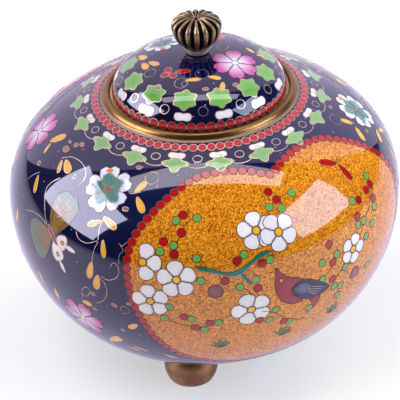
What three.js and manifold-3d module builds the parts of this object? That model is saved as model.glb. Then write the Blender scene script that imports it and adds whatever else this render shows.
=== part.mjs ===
// Cloisonne lidded jar: a squat round jar on three bun feet, with a brass mouth collar,
// a domed lid that lifts off, and a fluted brass knob on a petalled calyx.
// Millimetres, +Z up, origin on the ground under the jar's axis. The front of the jar faces -Y.

import * as THREE from "three";
import { mergeVertices } from "three/addons/utils/BufferGeometryUtils.js";
import Module from "manifold-3d";

const wasm = await Module();
wasm.setup();

// Clearance between pieces that rest on or against each other
const GAP = 0.3;

// Corners closer than this are one corner
const SAME_POINT = 1e-4;

// Jar body: widest radius and its height, the flat base, and the edge of the shoulder
const BODY_RADIUS = 60;
const EQUATOR_Z = 51.9;
const BASE_RADIUS = 22;
const BASE_Z = 6.4;
const SHOULDER_RADIUS = 29.7;
const SHOULDER_Z = 85.75;
const WALL = 2.2;

// The pull of the two curves: upwards and downwards from the equator, and outwards from each end
const PULL_UP = 13;
const PULL_DOWN = 16.3;
const SHOULDER_PULL = 26.2;
const SHOULDER_SLOPE = THREE.MathUtils.degToRad(21.6);
const BASE_PULL = 28.2;
const BASE_SLOPE = THREE.MathUtils.degToRad(7.7);

// The recess in the shoulder that the collar is set in, and the hole through it
const RECESS_DEPTH = 0.7;
const LIP_THICKNESS = 1.45;
const LIP_RADIUS = 26.9;

// Mouth collar: rounded crest, then a ledge that carries the lid, and a short sleeve in the hole
const CREST_RADIUS = 28.2;
const CREST_Z = 87.2;
const LEDGE_RADIUS = 27.2;
const LEDGE_Z = 86.4;
const MOUTH_RADIUS = 23.9;
const SLEEVE_WALL = 1.1;
const SLEEVE_END_Z = 83.4;
const COLLAR_SIDE_HEIGHT = 0.8;
const CREST_OUTER_HALF = 0.7;
const CREST_INNER_HALF = 0.6;
const SOFT_EDGE = 0.3;

// Lid: a thin dome, flatter on top than a half ellipse
const LID_RADIUS = 26.2;
const LID_WALL = 1.8;
const LID_EDGE_HEIGHT = 0.3;
const LID_RISE = 12;
const LID_FULLNESS = 0.85;

// Knob: a ball with a flattened, dimpled crown, gadrooned all round
const KNOB_RADIUS = 7.5;
const KNOB_CROWN = 3.3;
const KNOB_FULLNESS = 0.8;
const KNOB_DIMPLE = 0.9;
const KNOB_DIMPLE_RADIUS = 3.6;
const KNOB_FOOT_RADIUS = 2.4;
const FLUTES = 16;
const FLUTE_DEPTH = 0.15;
const FLUTE_DEPTH_AT_FOOT = 0.05;

// Calyx: a flared cup of petals under the knob
const CALYX_FOOT_RADIUS = 3.3;
const CALYX_RADIUS = 4.2;
const CALYX_HEIGHT = 1.2;
const CALYX_LIFT = 0.5;
const CALYX_RIM = 0.15;
const PETALS = 6;
const PETAL_DEPTH = 0.16;

// Feet: three balls under the flank, each cut flat where it stands
const FOOT_BALL_RADIUS = 8.35;
const FOOT_CENTRE_RADIUS = 28;
const FOOT_CENTRE_Z = 4.4;
const FOOT_COUNT = 3;
const FIRST_FOOT_AZIMUTH = THREE.MathUtils.degToRad(-13.8);

// Facets
const BODY_SIDES = 60;
const LID_SIDES = 48;
const COLLAR_SIDES = 48;
const SIDES_PER_FLUTE = 4;
const SIDES_PER_PETAL = 5;
const CURVE_STEPS = 8;
const INNER_STEPS = 5;
const DOME_STEPS = 8;
const KNOB_STEPS = 7;
const FOOT_SIDES = 20;
const FOOT_RINGS = 12;

const navyEnamel = new THREE.MeshStandardMaterial({ color: 0x1d2450, roughness: 0.18, metalness: 0 });
const lidEnamel = new THREE.MeshStandardMaterial({ color: 0x232a58, roughness: 0.18, metalness: 0 });
const collarBrass = new THREE.MeshStandardMaterial({ color: 0x9a7a45, roughness: 0.3, metalness: 1 });
const knobBronze = new THREE.MeshStandardMaterial({ color: 0x8a6a38, roughness: 0.35, metalness: 1 });
const calyxBrass = new THREE.MeshStandardMaterial({ color: 0xb79c78, roughness: 0.4, metalness: 1 });
const footBrass = new THREE.MeshStandardMaterial({ color: 0x7d5f38, roughness: 0.35, metalness: 1 });

const point = (r, z) => new THREE.Vector2(r, z);

// A closed, merged mesh: the triangles that shrink to nothing on the axis are left out
function closedMesh(geometry) {
  geometry.deleteAttribute("normal");
  geometry.deleteAttribute("uv");
  const merged = mergeVertices(geometry, SAME_POINT);
  const index = merged.getIndex().array;
  const kept = [];
  for (let i = 0; i < index.length; i += 3) {
    const [a, b, c] = [index[i], index[i + 1], index[i + 2]];
    if (a !== b && b !== c && c !== a) kept.push(a, b, c);
  }
  merged.setIndex(kept);
  return merged;
}

// A profile of (radius, height) points turned about +Z; it runs upwards on the outside.
// The first side starts at the front, facing -Y.
function turned(profile, sides) {
  const lathe = new THREE.LatheGeometry(profile, sides);
  lathe.rotateX(Math.PI / 2);
  return closedMesh(lathe);
}

// Scales each point's distance from the axis by a factor of its azimuth and that distance
function reshaped(geometry, factor) {
  const place = geometry.getAttribute("position");
  for (let i = 0; i < place.count; i += 1) {
    const [x, y, z] = [place.getX(i), place.getY(i), place.getZ(i)];
    const scale = factor(Math.atan2(x, -y), Math.hypot(x, y));
    place.setXYZ(i, x * scale, y * scale, z);
  }
  return geometry;
}

function toSolid(geometry) {
  const mesh = closedMesh(geometry.clone());
  const vertProperties = new Float32Array(mesh.getAttribute("position").array);
  const triVerts = new Uint32Array(mesh.getIndex().array);
  return new wasm.Manifold(new wasm.Mesh({ numProp: 3, vertProperties, triVerts }));
}

function fromSolid(solid) {
  const mesh = solid.getMesh();
  const geometry = new THREE.BufferGeometry();
  geometry.setAttribute("position", new THREE.BufferAttribute(mesh.vertProperties, 3));
  geometry.setIndex(new THREE.BufferAttribute(mesh.triVerts, 1));
  return geometry;
}

function named(name, geometry, material) {
  geometry.computeVertexNormals();
  const mesh = new THREE.Mesh(geometry, material);
  mesh.name = name;
  return mesh;
}

// The flank of the jar, from the base edge up to the equator
const lowerFlank = new THREE.CubicBezierCurve(
  point(BASE_RADIUS, BASE_Z),
  point(BASE_RADIUS + BASE_PULL * Math.cos(BASE_SLOPE), BASE_Z + BASE_PULL * Math.sin(BASE_SLOPE)),
  point(BODY_RADIUS, EQUATOR_Z - PULL_DOWN),
  point(BODY_RADIUS, EQUATOR_Z),
);

// The shoulder of the jar, from the equator up to the collar
const upperFlank = new THREE.CubicBezierCurve(
  point(BODY_RADIUS, EQUATOR_Z),
  point(BODY_RADIUS, EQUATOR_Z + PULL_UP),
  point(
    SHOULDER_RADIUS + SHOULDER_PULL * Math.cos(SHOULDER_SLOPE),
    SHOULDER_Z - SHOULDER_PULL * Math.sin(SHOULDER_SLOPE),
  ),
  point(SHOULDER_RADIUS, SHOULDER_Z),
);

// Evenly spaced points of a curve, moved sideways: outwards where the offset is positive
function flankPoints(curve, steps, offset) {
  const points = [];
  for (let i = 0; i <= steps; i += 1) {
    const along = curve.getTangentAt(i / steps);
    const normal = point(along.y, -along.x);
    points.push(curve.getPointAt(i / steps).addScaledVector(normal, offset));
  }
  return points;
}

function bodyProfile() {
  const recessZ = SHOULDER_Z - RECESS_DEPTH;
  const outside = [
    ...flankPoints(lowerFlank, CURVE_STEPS, 0),
    ...flankPoints(upperFlank, CURVE_STEPS, 0).slice(1),
  ];
  const inside = [
    ...flankPoints(lowerFlank, INNER_STEPS, -WALL),
    ...flankPoints(upperFlank, INNER_STEPS, -WALL).slice(1),
  ];
  return [
    point(0, BASE_Z),
    ...outside,
    point(SHOULDER_RADIUS, recessZ),
    point(LIP_RADIUS, recessZ),
    point(LIP_RADIUS, recessZ - LIP_THICKNESS),
    ...inside.reverse(),
    point(0, BASE_Z + WALL),
  ];
}

function collarProfile() {
  const seatZ = SHOULDER_Z - RECESS_DEPTH + GAP;
  const outerRadius = SHOULDER_RADIUS - GAP;
  const sleeveRadius = LIP_RADIUS - GAP;
  return [
    point(outerRadius, seatZ),
    point(outerRadius, seatZ + COLLAR_SIDE_HEIGHT),
    point(CREST_RADIUS + CREST_OUTER_HALF, CREST_Z - SOFT_EDGE),
    point(CREST_RADIUS, CREST_Z),
    point(CREST_RADIUS - CREST_INNER_HALF, CREST_Z - 0.5 * SOFT_EDGE),
    point(LEDGE_RADIUS, LEDGE_Z),
    point(MOUTH_RADIUS + SOFT_EDGE, LEDGE_Z),
    point(MOUTH_RADIUS, LEDGE_Z - SOFT_EDGE),
    point(MOUTH_RADIUS, seatZ),
    point(sleeveRadius - SLEEVE_WALL, seatZ),
    point(sleeveRadius - SLEEVE_WALL, SLEEVE_END_Z),
    point(sleeveRadius, SLEEVE_END_Z),
    point(sleeveRadius, seatZ),
    point(outerRadius, seatZ),
  ];
}

const lidFootZ = LEDGE_Z + GAP;
const lidApexZ = lidFootZ + LID_EDGE_HEIGHT + LID_RISE;

// Half the outline of a dome, from its edge to its apex
function domePoints(radius, edgeZ, rise) {
  const points = [];
  for (let i = 0; i <= DOME_STEPS; i += 1) {
    const angle = (0.5 * Math.PI * i) / DOME_STEPS;
    const r = i === DOME_STEPS ? 0 : radius * Math.cos(angle) ** LID_FULLNESS;
    points.push(point(r, edgeZ + rise * Math.sin(angle)));
  }
  return points;
}

function lidProfile() {
  const edgeZ = lidFootZ + LID_EDGE_HEIGHT;
  const inside = domePoints(LID_RADIUS - LID_WALL, edgeZ, LID_RISE - LID_WALL);
  return [
    ...inside.reverse(),
    point(LID_RADIUS - LID_WALL, lidFootZ),
    point(LID_RADIUS, lidFootZ),
    ...domePoints(LID_RADIUS, edgeZ, LID_RISE),
  ];
}

const calyxFootZ = lidApexZ + GAP;
const calyxTopZ = calyxFootZ + CALYX_HEIGHT;

function calyxProfile() {
  return [
    point(0, calyxFootZ),
    point(CALYX_FOOT_RADIUS, calyxFootZ),
    point(CALYX_RADIUS, calyxTopZ - CALYX_RIM),
    point(CALYX_RADIUS - CALYX_RIM, calyxTopZ + CALYX_LIFT),
    point(KNOB_FOOT_RADIUS + GAP, calyxTopZ),
    point(0, calyxTopZ),
  ];
}

// Petals: the cup's rim is scalloped and its foot stays round
function calyxGeometry() {
  const petal = (azimuth, r) => {
    const spread = THREE.MathUtils.smoothstep(r, CALYX_FOOT_RADIUS, CALYX_RADIUS - CALYX_RIM);
    const valley = 1 - Math.abs(Math.cos(0.5 * PETALS * azimuth + 0.5 * Math.PI));
    return 1 - PETAL_DEPTH * spread * valley ** 2;
  };
  return reshaped(turned(calyxProfile(), PETALS * SIDES_PER_PETAL), petal);
}

const knobFootZ = calyxTopZ + GAP;
const knobCentreZ = knobFootZ + Math.sqrt(KNOB_RADIUS ** 2 - KNOB_FOOT_RADIUS ** 2);

function knobProfile() {
  const points = [point(0, knobFootZ)];
  const lowest = Math.acos(KNOB_FOOT_RADIUS / KNOB_RADIUS);
  for (let i = 0; i <= KNOB_STEPS; i += 1) {
    const angle = -lowest * (1 - i / KNOB_STEPS);
    points.push(point(KNOB_RADIUS * Math.cos(angle), knobCentreZ + KNOB_RADIUS * Math.sin(angle)));
  }
  for (let i = 1; i <= KNOB_STEPS; i += 1) {
    const angle = (0.5 * Math.PI * i) / KNOB_STEPS;
    const r = i === KNOB_STEPS ? 0 : KNOB_RADIUS * Math.cos(angle) ** KNOB_FULLNESS;
    const dip = KNOB_DIMPLE * (1 - THREE.MathUtils.smoothstep(r, 0, KNOB_DIMPLE_RADIUS));
    points.push(point(r, knobCentreZ + KNOB_CROWN * Math.sin(angle) - dip));
  }
  return points;
}

// Flutes: round ribs with sharp grooves between them, fading out at the foot
function knobGeometry() {
  const flute = (azimuth, r) => {
    const spread = THREE.MathUtils.smoothstep(r, 0, KNOB_RADIUS);
    const groove = 1 - Math.abs(Math.cos(0.5 * FLUTES * azimuth));
    return 1 - THREE.MathUtils.lerp(FLUTE_DEPTH_AT_FOOT, FLUTE_DEPTH, spread) * groove;
  };
  return reshaped(turned(knobProfile(), FLUTES * SIDES_PER_FLUTE), flute);
}

// One foot: a ball, less the jar standing a gap clear of it, less all below the ground
function footGeometry(azimuth) {
  const ball = new THREE.SphereGeometry(FOOT_BALL_RADIUS, FOOT_SIDES, FOOT_RINGS);
  ball.rotateX(Math.PI / 2);
  ball.translate(
    FOOT_CENTRE_RADIUS * Math.sin(azimuth),
    -FOOT_CENTRE_RADIUS * Math.cos(azimuth),
    FOOT_CENTRE_Z,
  );
  const span = 2 * BODY_RADIUS;
  const ground = new THREE.BoxGeometry(span, span, span);
  ground.translate(0, 0, -0.5 * span);
  const flank = flankPoints(lowerFlank, CURVE_STEPS, GAP);
  const jar = turned([point(0, BASE_Z - GAP), ...flank, point(0, EQUATOR_Z)], BODY_SIDES);
  return fromSolid(toSolid(ball).subtract(toSolid(jar)).subtract(toSolid(ground)));
}

const jar = new THREE.Group();
jar.add(named("jar_body", turned(bodyProfile(), BODY_SIDES), navyEnamel));
jar.add(named("mouth_collar", turned(collarProfile(), COLLAR_SIDES), collarBrass));

const cover = new THREE.Group();
cover.add(named("lid", turned(lidProfile(), LID_SIDES), lidEnamel));
cover.add(named("knob_calyx", calyxGeometry(), calyxBrass));
cover.add(named("knob", knobGeometry(), knobBronze));
jar.add(cover);

for (let i = 0; i < FOOT_COUNT; i += 1) {
  const azimuth = FIRST_FOOT_AZIMUTH + (2 * Math.PI * i) / FOOT_COUNT;
  jar.add(named(`foot_${i + 1}`, footGeometry(azimuth), footBrass));
}

export default jar;
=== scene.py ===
# %% [markdown]
# # A cloisonne lidded jar
# The jar is a squat copper vessel coated with navy enamel. Thin brass wires, the cloisons, are bent
# into outlines and fixed to the metal, and each little cell between them is filled with coloured
# enamel, fired and polished flush. The fixed frame gives the jar's place and size in metres; this
# lesson works in millimetres and turns them into metres only when a mesh is made.

# %% The fixed frame
import math

import bpy
import numpy as np
from mathutils import Matrix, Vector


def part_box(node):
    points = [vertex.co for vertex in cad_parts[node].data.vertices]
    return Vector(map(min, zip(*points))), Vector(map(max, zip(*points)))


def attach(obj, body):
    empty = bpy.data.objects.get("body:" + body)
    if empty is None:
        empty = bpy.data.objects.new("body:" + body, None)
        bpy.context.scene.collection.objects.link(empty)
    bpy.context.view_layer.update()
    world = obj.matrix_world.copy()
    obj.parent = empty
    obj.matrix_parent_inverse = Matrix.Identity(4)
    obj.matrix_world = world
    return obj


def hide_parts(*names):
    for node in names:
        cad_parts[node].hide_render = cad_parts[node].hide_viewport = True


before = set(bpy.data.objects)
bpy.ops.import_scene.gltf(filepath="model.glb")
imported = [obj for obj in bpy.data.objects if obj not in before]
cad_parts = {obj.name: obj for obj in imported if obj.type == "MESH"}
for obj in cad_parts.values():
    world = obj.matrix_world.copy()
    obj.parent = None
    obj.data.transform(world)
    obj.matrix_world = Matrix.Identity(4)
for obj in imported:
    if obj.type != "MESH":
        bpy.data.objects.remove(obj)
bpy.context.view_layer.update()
MM = 0.001
rng = np.random.default_rng(7)


def node_box(node):
    """The lowest and highest corners of a node of the frame, in millimetres."""
    low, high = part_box(node)
    return np.array(low) / MM, np.array(high) / MM


body_low, body_high = node_box("jar_body")
lid_low, lid_high = node_box("lid")
print("jar", body_low.round(2), body_high.round(2), "lid", lid_low.round(2), lid_high.round(2))

# %% [markdown]
# ## The camera
# The picture was taken with a long lens from about 33 degrees above the table, and the camera leaned
# a little, so the jar leans left in it. The same four vectors place the camera and turn a pixel of
# the 400 pixel picture into a ray, which later finds where a flower sits on the jar.

# %% The camera
PICTURE_PIXELS = 400
FOCAL_PIXELS = 1933.0
AIM_PIXEL = (204.45, 192.2)
AIM_HEIGHT = 49.2
VIEW_DISTANCE = 600.0
VIEW_ELEVATION = math.radians(33.08)
VIEW_ROLL = math.radians(2.8)
SENSOR_WIDTH = 36.0

to_camera = np.array([0.0, -math.cos(VIEW_ELEVATION), math.sin(VIEW_ELEVATION)])
level_right = np.array([1.0, 0.0, 0.0])
level_up = np.cross(to_camera, level_right)
image_right = math.cos(VIEW_ROLL) * level_right - math.sin(VIEW_ROLL) * level_up
image_up = math.sin(VIEW_ROLL) * level_right + math.cos(VIEW_ROLL) * level_up
camera_place = np.array([0.0, 0.0, AIM_HEIGHT]) + VIEW_DISTANCE * to_camera

lens = bpy.data.cameras.new("photo_camera")
lens.sensor_width = SENSOR_WIDTH
lens.lens = SENSOR_WIDTH * FOCAL_PIXELS / PICTURE_PIXELS
lens.shift_x = 0.5 - AIM_PIXEL[0] / PICTURE_PIXELS
lens.shift_y = AIM_PIXEL[1] / PICTURE_PIXELS - 0.5
camera = bpy.data.objects.new("photo_camera", lens)
turned_axes = np.eye(4)
turned_axes[:3, 0], turned_axes[:3, 1], turned_axes[:3, 2] = image_right, image_up, to_camera
turned_axes[:3, 3] = camera_place * MM
camera.matrix_world = Matrix(turned_axes.tolist())
bpy.context.scene.collection.objects.link(camera)
bpy.context.scene.camera = camera
bpy.context.scene.view_settings.view_transform = "Standard"
print("lens", round(lens.lens, 1), "mm, camera", camera_place.round(1))


def pixel_ray(pixel):
    """The unit vector from the camera through a pixel of the picture."""
    across, down = pixel[0] - AIM_PIXEL[0], pixel[1] - AIM_PIXEL[1]
    ray = -FOCAL_PIXELS * to_camera + across * image_right - down * image_up
    return ray / np.linalg.norm(ray)


# %% [markdown]
# ## Surfaces that were turned on a wheel
# Jar, lid, collar and knob are all surfaces of revolution: a profile of radius and height carried
# round the axis. Every ornament is laid on such a surface by two numbers, the azimuth (zero at the
# front, growing to the right) and the length up the profile, so it follows the curve exactly.

# %% A turned surface
RAY_REACH = 130.0
RAY_STEPS = 8000
TINY_STEP = 0.1


class Turned:
    """A profile r(s), z(s) turned about the axis; s is the length along it from its lower edge.

    A point is (r sin a, -r cos a, z) at azimuth a, moved out along the normal by a lift.
    """

    def __init__(self, profile, crown=math.inf):
        self.r, self.z = np.asarray(profile, float).T
        self.s = np.concatenate([[0.0], np.cumsum(np.hypot(np.diff(self.r), np.diff(self.z)))])
        along_r, along_z = np.gradient(self.r, self.s), np.gradient(self.z, self.s)
        length = np.hypot(along_r, along_z)
        self.normal_r, self.normal_z = along_z / length, -along_r / length
        self.top, self.crown = self.s[-1], crown

    def radius(self, s):
        """The distance from the axis at a length."""
        return np.interp(s, self.s, self.r)

    def normal(self, a, s):
        """The unit vector out of the surface: the profile's own normal, turned to the azimuth."""
        out = np.interp(s, self.s, self.normal_r)
        return np.stack([out * np.sin(a), -out * np.cos(a), np.interp(s, self.s, self.normal_z)], -1)

    def point(self, a, s, lift=0.0):
        """The place at an azimuth and a length, moved out along the normal by a lift."""
        r = self.radius(s)
        base = np.stack([r * np.sin(a), -r * np.cos(a), np.interp(s, self.s, self.z)], -1)
        return base + np.asarray(lift)[..., None] * self.normal(a, s)

    def chart(self, spot, xy):
        """Azimuth and length of flat points x, y (right, up) about a spot.

        Below the crown the sheet is wrapped round the axis; on the crown it is laid on the pole.
        """
        azimuth, s = spot
        x, y = xy[..., 0], xy[..., 1]
        if s < self.crown:
            return azimuth + x / self.radius(s + y), s + y
        reach = self.top - s
        east = reach * math.sin(azimuth) + x * math.cos(azimuth) - y * math.sin(azimuth)
        south = reach * math.cos(azimuth) - x * math.sin(azimuth) - y * math.cos(azimuth)
        return np.arctan2(east, south), self.top - np.hypot(east, south)

    def flat(self, spot, a, s):
        """The flat points x, y about a spot of an azimuth and a length: the chart the other way round."""
        azimuth, start = spot
        if start < self.crown:
            return np.stack([(a - azimuth) * self.radius(s), s - start], -1)
        reach = self.top - s
        return np.stack([reach * np.sin(a - azimuth), self.top - start - reach * np.cos(a - azimuth)], -1)

    def lay(self, spot, xy, lift=0.0):
        """The places of flat points about a spot."""
        return self.point(*self.chart(spot, xy), lift)

    def seen_at(self, pixel):
        """The spot that a pixel of the picture shows: the ray's first step inside the surface."""
        steps = np.linspace(VIEW_DISTANCE - RAY_REACH, VIEW_DISTANCE + RAY_REACH, RAY_STEPS)
        along = camera_place + steps[:, None] * pixel_ray(pixel)
        order = np.argsort(self.z)
        wall = np.interp(along[:, 2], self.z[order], self.r[order], left=-1, right=-1)
        first = along[np.argmax(np.hypot(along[:, 0], along[:, 1]) < wall)]
        s = np.interp(first[2], self.z[order], self.s[order])
        return math.atan2(first[0], -first[1]), float(s)

    def seen_path(self, spot, pixels):
        """Pixels of a line in the picture as flat points about a spot."""
        return self.flat(spot, *np.array([self.seen_at(p) for p in pixels]).T)

    def seen_turn(self, spot, degrees):
        """The turn on the surface that looks like a counter-clockwise turn from upright in the picture."""
        base, east, north = self.lay(spot, TINY_STEP * np.array([[0, 0], [1, 0], [0, 1]]))
        steps = np.stack([east - base, north - base], -1)
        seen = np.stack([image_right @ steps, image_up @ steps])
        x, y = np.linalg.solve(seen, [-math.sin(math.radians(degrees)), math.cos(math.radians(degrees))])
        return math.degrees(math.atan2(-x, y))


def bezier(corners, steps):
    """Points of a cubic curve: the corners weighted by (1-t)^3, 3t(1-t)^2, 3t^2(1-t) and t^3."""
    t = np.linspace(0, 1, steps)[:, None]
    a, b, c, d = np.asarray(corners, float)
    return (1 - t) ** 3 * a + 3 * t * (1 - t) ** 2 * b + 3 * t**2 * (1 - t) * c + t**3 * d


print("half way along a curve with corners in line:", bezier([(0, 0), (1, 1), (2, 2), (3, 3)], 3)[1])

# %% [markdown]
# ## The profiles of jar and lid
# The flank is two cubic curves that meet at the widest point with an upright tangent. The driving
# sizes are those of the solid: the frame gives the radius and the two heights. The lid is a dome,
# a little fuller than a half ellipse.

# %% The profiles of jar and lid
BODY_RADIUS = body_high[0]
BASE_Z, SHOULDER_Z = body_low[2], body_high[2]
EQUATOR_Z = 51.9
BASE_RADIUS = 22.0
SHOULDER_RADIUS = 29.7
WALL = 2.2
BASE_PULL, BASE_SLOPE = 28.2, math.radians(7.7)
SHOULDER_PULL, SHOULDER_SLOPE = 26.2, math.radians(21.6)
PULL_DOWN, PULL_UP = 16.3, 13.0
LID_RADIUS = lid_high[0]
LID_RIM_Z, LID_EDGE = lid_low[2], 0.3
LID_EDGE_Z = LID_RIM_Z + LID_EDGE
LID_RISE = lid_high[2] - LID_EDGE_Z
LID_FULLNESS = 0.85
LID_WALL = 1.8
LID_CROWN = 13.0
OUTLINE_STEPS = 400


def pulled(start, length, slope):
    """The handle of a curve, at a length and a slope from its start."""
    return (start[0] + length * math.cos(slope), start[1] + length * math.sin(slope))


def body_outline(steps):
    """The flank from the base edge up to the shoulder."""
    base, belly = (BASE_RADIUS, BASE_Z), (BODY_RADIUS, EQUATOR_Z)
    shoulder = (SHOULDER_RADIUS, SHOULDER_Z)
    low = [base, pulled(base, BASE_PULL, BASE_SLOPE), (BODY_RADIUS, EQUATOR_Z - PULL_DOWN), belly]
    high = [belly, (BODY_RADIUS, EQUATOR_Z + PULL_UP),
            pulled(shoulder, SHOULDER_PULL, -SHOULDER_SLOPE), shoulder]
    return np.vstack([bezier(low, steps), bezier(high, steps)[1:]])


def dome_outline(radius, rise, steps):
    """A dome: radius times cos(t)^fullness at height rise times sin(t), from its edge to its pole."""
    t = np.linspace(0, 0.5 * math.pi, steps)
    r = radius * np.clip(np.cos(t), 0, 1) ** LID_FULLNESS
    return np.stack([r, LID_EDGE_Z + rise * np.sin(t)], -1)


jar = Turned(body_outline(OUTLINE_STEPS))
lid_wall = np.vstack([[LID_RADIUS, LID_RIM_Z], dome_outline(LID_RADIUS, LID_RISE, OUTLINE_STEPS)])
lid = Turned(lid_wall, LID_CROWN)
print("flank", round(jar.top, 1), "mm, lid", round(lid.top, 1), "mm from edge to pole")

# %% [markdown]
# ## From arrays to pieces
# A grid of points becomes a mesh by joining neighbours in the grid with quads. A turned wall is a grid
# that closes round the axis; where its profile starts or ends on the axis, that row is one point, so
# the shape has no seam and no open pole.

# %% A mesh from points and faces


def make_piece(name, points, faces, attributes=None, replaces=(), smooth=None):
    """Puts points (millimetres) and faces into a mesh that rides on the jar; smooth is per face."""
    mesh = bpy.data.meshes.new(name)
    mesh.from_pydata((np.asarray(points) * MM).tolist(), [], faces)
    for key, values in (attributes or {}).items():
        mesh.attributes.new(key, "FLOAT", "POINT").data.foreach_set("value", np.asarray(values, np.float32))
    mesh.polygons.foreach_set("use_smooth", np.ones(len(faces), bool) if smooth is None else smooth)
    piece = bpy.data.objects.new(name, mesh)
    bpy.context.scene.collection.objects.link(piece)
    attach(piece, "root")
    if replaces:
        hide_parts(*replaces)
    print(name, len(points), "points,", len(faces), "faces")
    return piece


# %% [markdown]
# ## Grids
# Most surfaces here are grids that close round the axis, so their faces follow from two numbers alone,
# the rows and the columns. A solid that ends on the axis gets a fan of triangles to each of its poles.

# %% Grids and closed turnings


def angles(count):
    """Equal steps once round the axis, from zero."""
    return np.linspace(0, 2 * math.pi, count, endpoint=False)


def grid_quads(rows, columns, close_rows=False):
    """Quads of a grid that closes round its columns; rows run upwards on the outside."""
    i, j = np.meshgrid(np.arange(rows if close_rows else rows - 1), np.arange(columns), indexing="ij")
    i2, j2 = (i + 1) % rows, (j + 1) % columns
    corners = [i * columns + j, i * columns + j2, i2 * columns + j2, i2 * columns + j]
    return np.stack(corners, -1).reshape(-1, 4)


def turned_grid(profile, columns, shape=None):
    """Points of a profile carried round the axis, as rows by columns; shape may change r and z."""
    a = angles(columns)
    r, z = np.repeat(profile.T[:, :, None], columns, 2)
    if shape:
        r, z = shape(r, z, a)
    return np.stack([r * np.sin(a), -r * np.cos(a), z], -1)


def closed_faces(rows, columns):
    """Quads of a grid and fans to its two poles, whose points come last: the lower, then the upper."""
    j = np.arange(columns)
    k = (j + 1) % columns
    lower, top = rows * columns, (rows - 1) * columns
    faces = grid_quads(rows, columns).tolist()
    faces += np.stack([np.full(columns, lower), k, j], -1).tolist()
    faces += np.stack([np.full(columns, lower + 1), top + j, top + k], -1).tolist()
    return faces


def closed_turning(profile, columns, shape=None):
    """A solid of revolution from a profile that starts and ends on the axis."""
    rings = turned_grid(profile[1:-1], columns, shape).reshape(-1, 3)
    poles = [[0, 0, profile[0, 1]], [0, 0, profile[-1, 1]]]
    return np.vstack([rings, poles]), closed_faces(len(profile) - 2, columns)


print("a grid of 3 by 4 points that closes round has", len(grid_quads(3, 4)), "quads")

# %% [markdown]
# ## Smooth lines through a few points
# Stems, panel edges and sections are drawn as a few points. A Catmull-Rom curve passes through every one of
# them, so the points can be read off the picture; a Bezier curve would only lean to them.

# %% Smooth paths


def smooth_path(points, steps, closed=False):
    """A Catmull-Rom curve through points: each span bends with the slope of its neighbours."""
    p = np.asarray(points, float)
    before = np.roll(p, 1, 0) if closed else np.vstack([2 * p[0] - p[1], p[:-1]])
    after = np.roll(p, -1, 0) if closed else np.vstack([p[1:], 2 * p[-1] - p[-2]])
    slope = 0.5 * (after - before)
    spans = len(p) if closed else len(p) - 1
    t = np.linspace(0, 1, steps, endpoint=False)[None, :, None]
    a, b = p[:spans, None], after[:spans, None]
    m, n = slope[:spans, None], np.roll(slope, -1, 0)[:spans, None]
    curve = (2 * t**3 - 3 * t**2 + 1) * a + (t**3 - 2 * t**2 + t) * m
    curve = curve + (3 * t**2 - 2 * t**3) * b + (t**3 - t**2) * n
    curve = curve.reshape(-1, p.shape[1])
    return curve if closed else np.vstack([curve, p[-1]])


SQUARE = [(0, 0), (1, 0), (1, 1), (0, 1)]
print("a square becomes a loop of", len(smooth_path(SQUARE, 8, closed=True)), "points")

# %% [markdown]
# ## Two goldstone panels
# Two heart-topped panels of glittering goldstone enamel interrupt the navy ground, one towards the
# right of the front and its twin at the back. The outline is drawn once, in degrees from the panel's
# middle and millimetres up the flank, and mirrored. A signed distance to it is kept on the jar's own
# points, so the material can change from navy to goldstone exactly along that line.

# %% The panel's outline
PANEL_MIDDLES = (math.radians(26.5), math.radians(206.5))
PANEL_HALF = [(0, 98.6), (9, 101.8), (20, 102.9), (32, 100.4), (43.5, 90.5), (49.5, 77), (46.5, 57),
              (38, 40), (20, 29.5), (0, 27.5)]
PANEL_WINDOW = math.radians(58)
FAR_FROM_PANEL = 60.0


def panel_outline(steps):
    """Azimuth from the panel's middle and length up the flank, right half down, left half up."""
    half = smooth_path(PANEL_HALF, steps)
    right = half[:-1] * [math.radians(1), 1]
    left = half[::-1][:-1] * [-math.radians(1), 1]
    return np.vstack([right, left])[::-1]


def outline_distance(points, outline):
    """Distance from points to a closed outline, negative inside it."""
    start, end = outline[None], np.roll(outline, -1, 0)[None]
    span = end - start
    to_point = points[:, None] - start
    share = np.clip((to_point * span).sum(-1) / (span**2).sum(-1), 0, 1)
    near = np.linalg.norm(to_point - share[..., None] * span, axis=-1).min(1)
    crosses = (start[..., 1] > points[:, None, 1]) != (end[..., 1] > points[:, None, 1])
    rise = np.where(span[..., 1] == 0, 1, span[..., 1])
    left_of = to_point[..., 0] < span[..., 0] * to_point[..., 1] / rise
    return np.where((crosses & left_of).sum(1) % 2 == 1, -near, near)


def panel_distance(a, s):
    """Signed distance to the nearer panel, on a sheet unrolled at the belly's radius."""
    nearest = np.full(a.shape, FAR_FROM_PANEL)
    outline = panel_outline(8) * [BODY_RADIUS, 1]
    for middle in PANEL_MIDDLES:
        offset = (a - middle + math.pi) % (2 * math.pi) - math.pi
        close = np.abs(offset) < PANEL_WINDOW
        sheet = np.stack([offset[close] * BODY_RADIUS, s[close]], -1)
        nearest[close] = np.minimum(nearest[close], outline_distance(sheet, outline))
    return nearest


print("each panel spans", 2 * max(PANEL_HALF)[0], "degrees")

# %% [markdown]
# ## The jar
# The vessel is one closed skin: the base, the flank up to the shoulder, the recess for the collar,
# the hole, and the inside of the wall back to the middle of the floor. It is hollow and empty, with
# the same wall as the solid. Two attributes ride on its points: the distance to the panels, and which
# points are on the inside, where plain blue counter-enamel shows.

# %% The jar's body
BODY_COLUMNS = 360
FLANK_STEPS = 62
INSIDE_STEPS = 14
RECESS = 0.7
LIP = 1.45
LIP_RADIUS = 26.9
BLOCKS = 12


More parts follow.
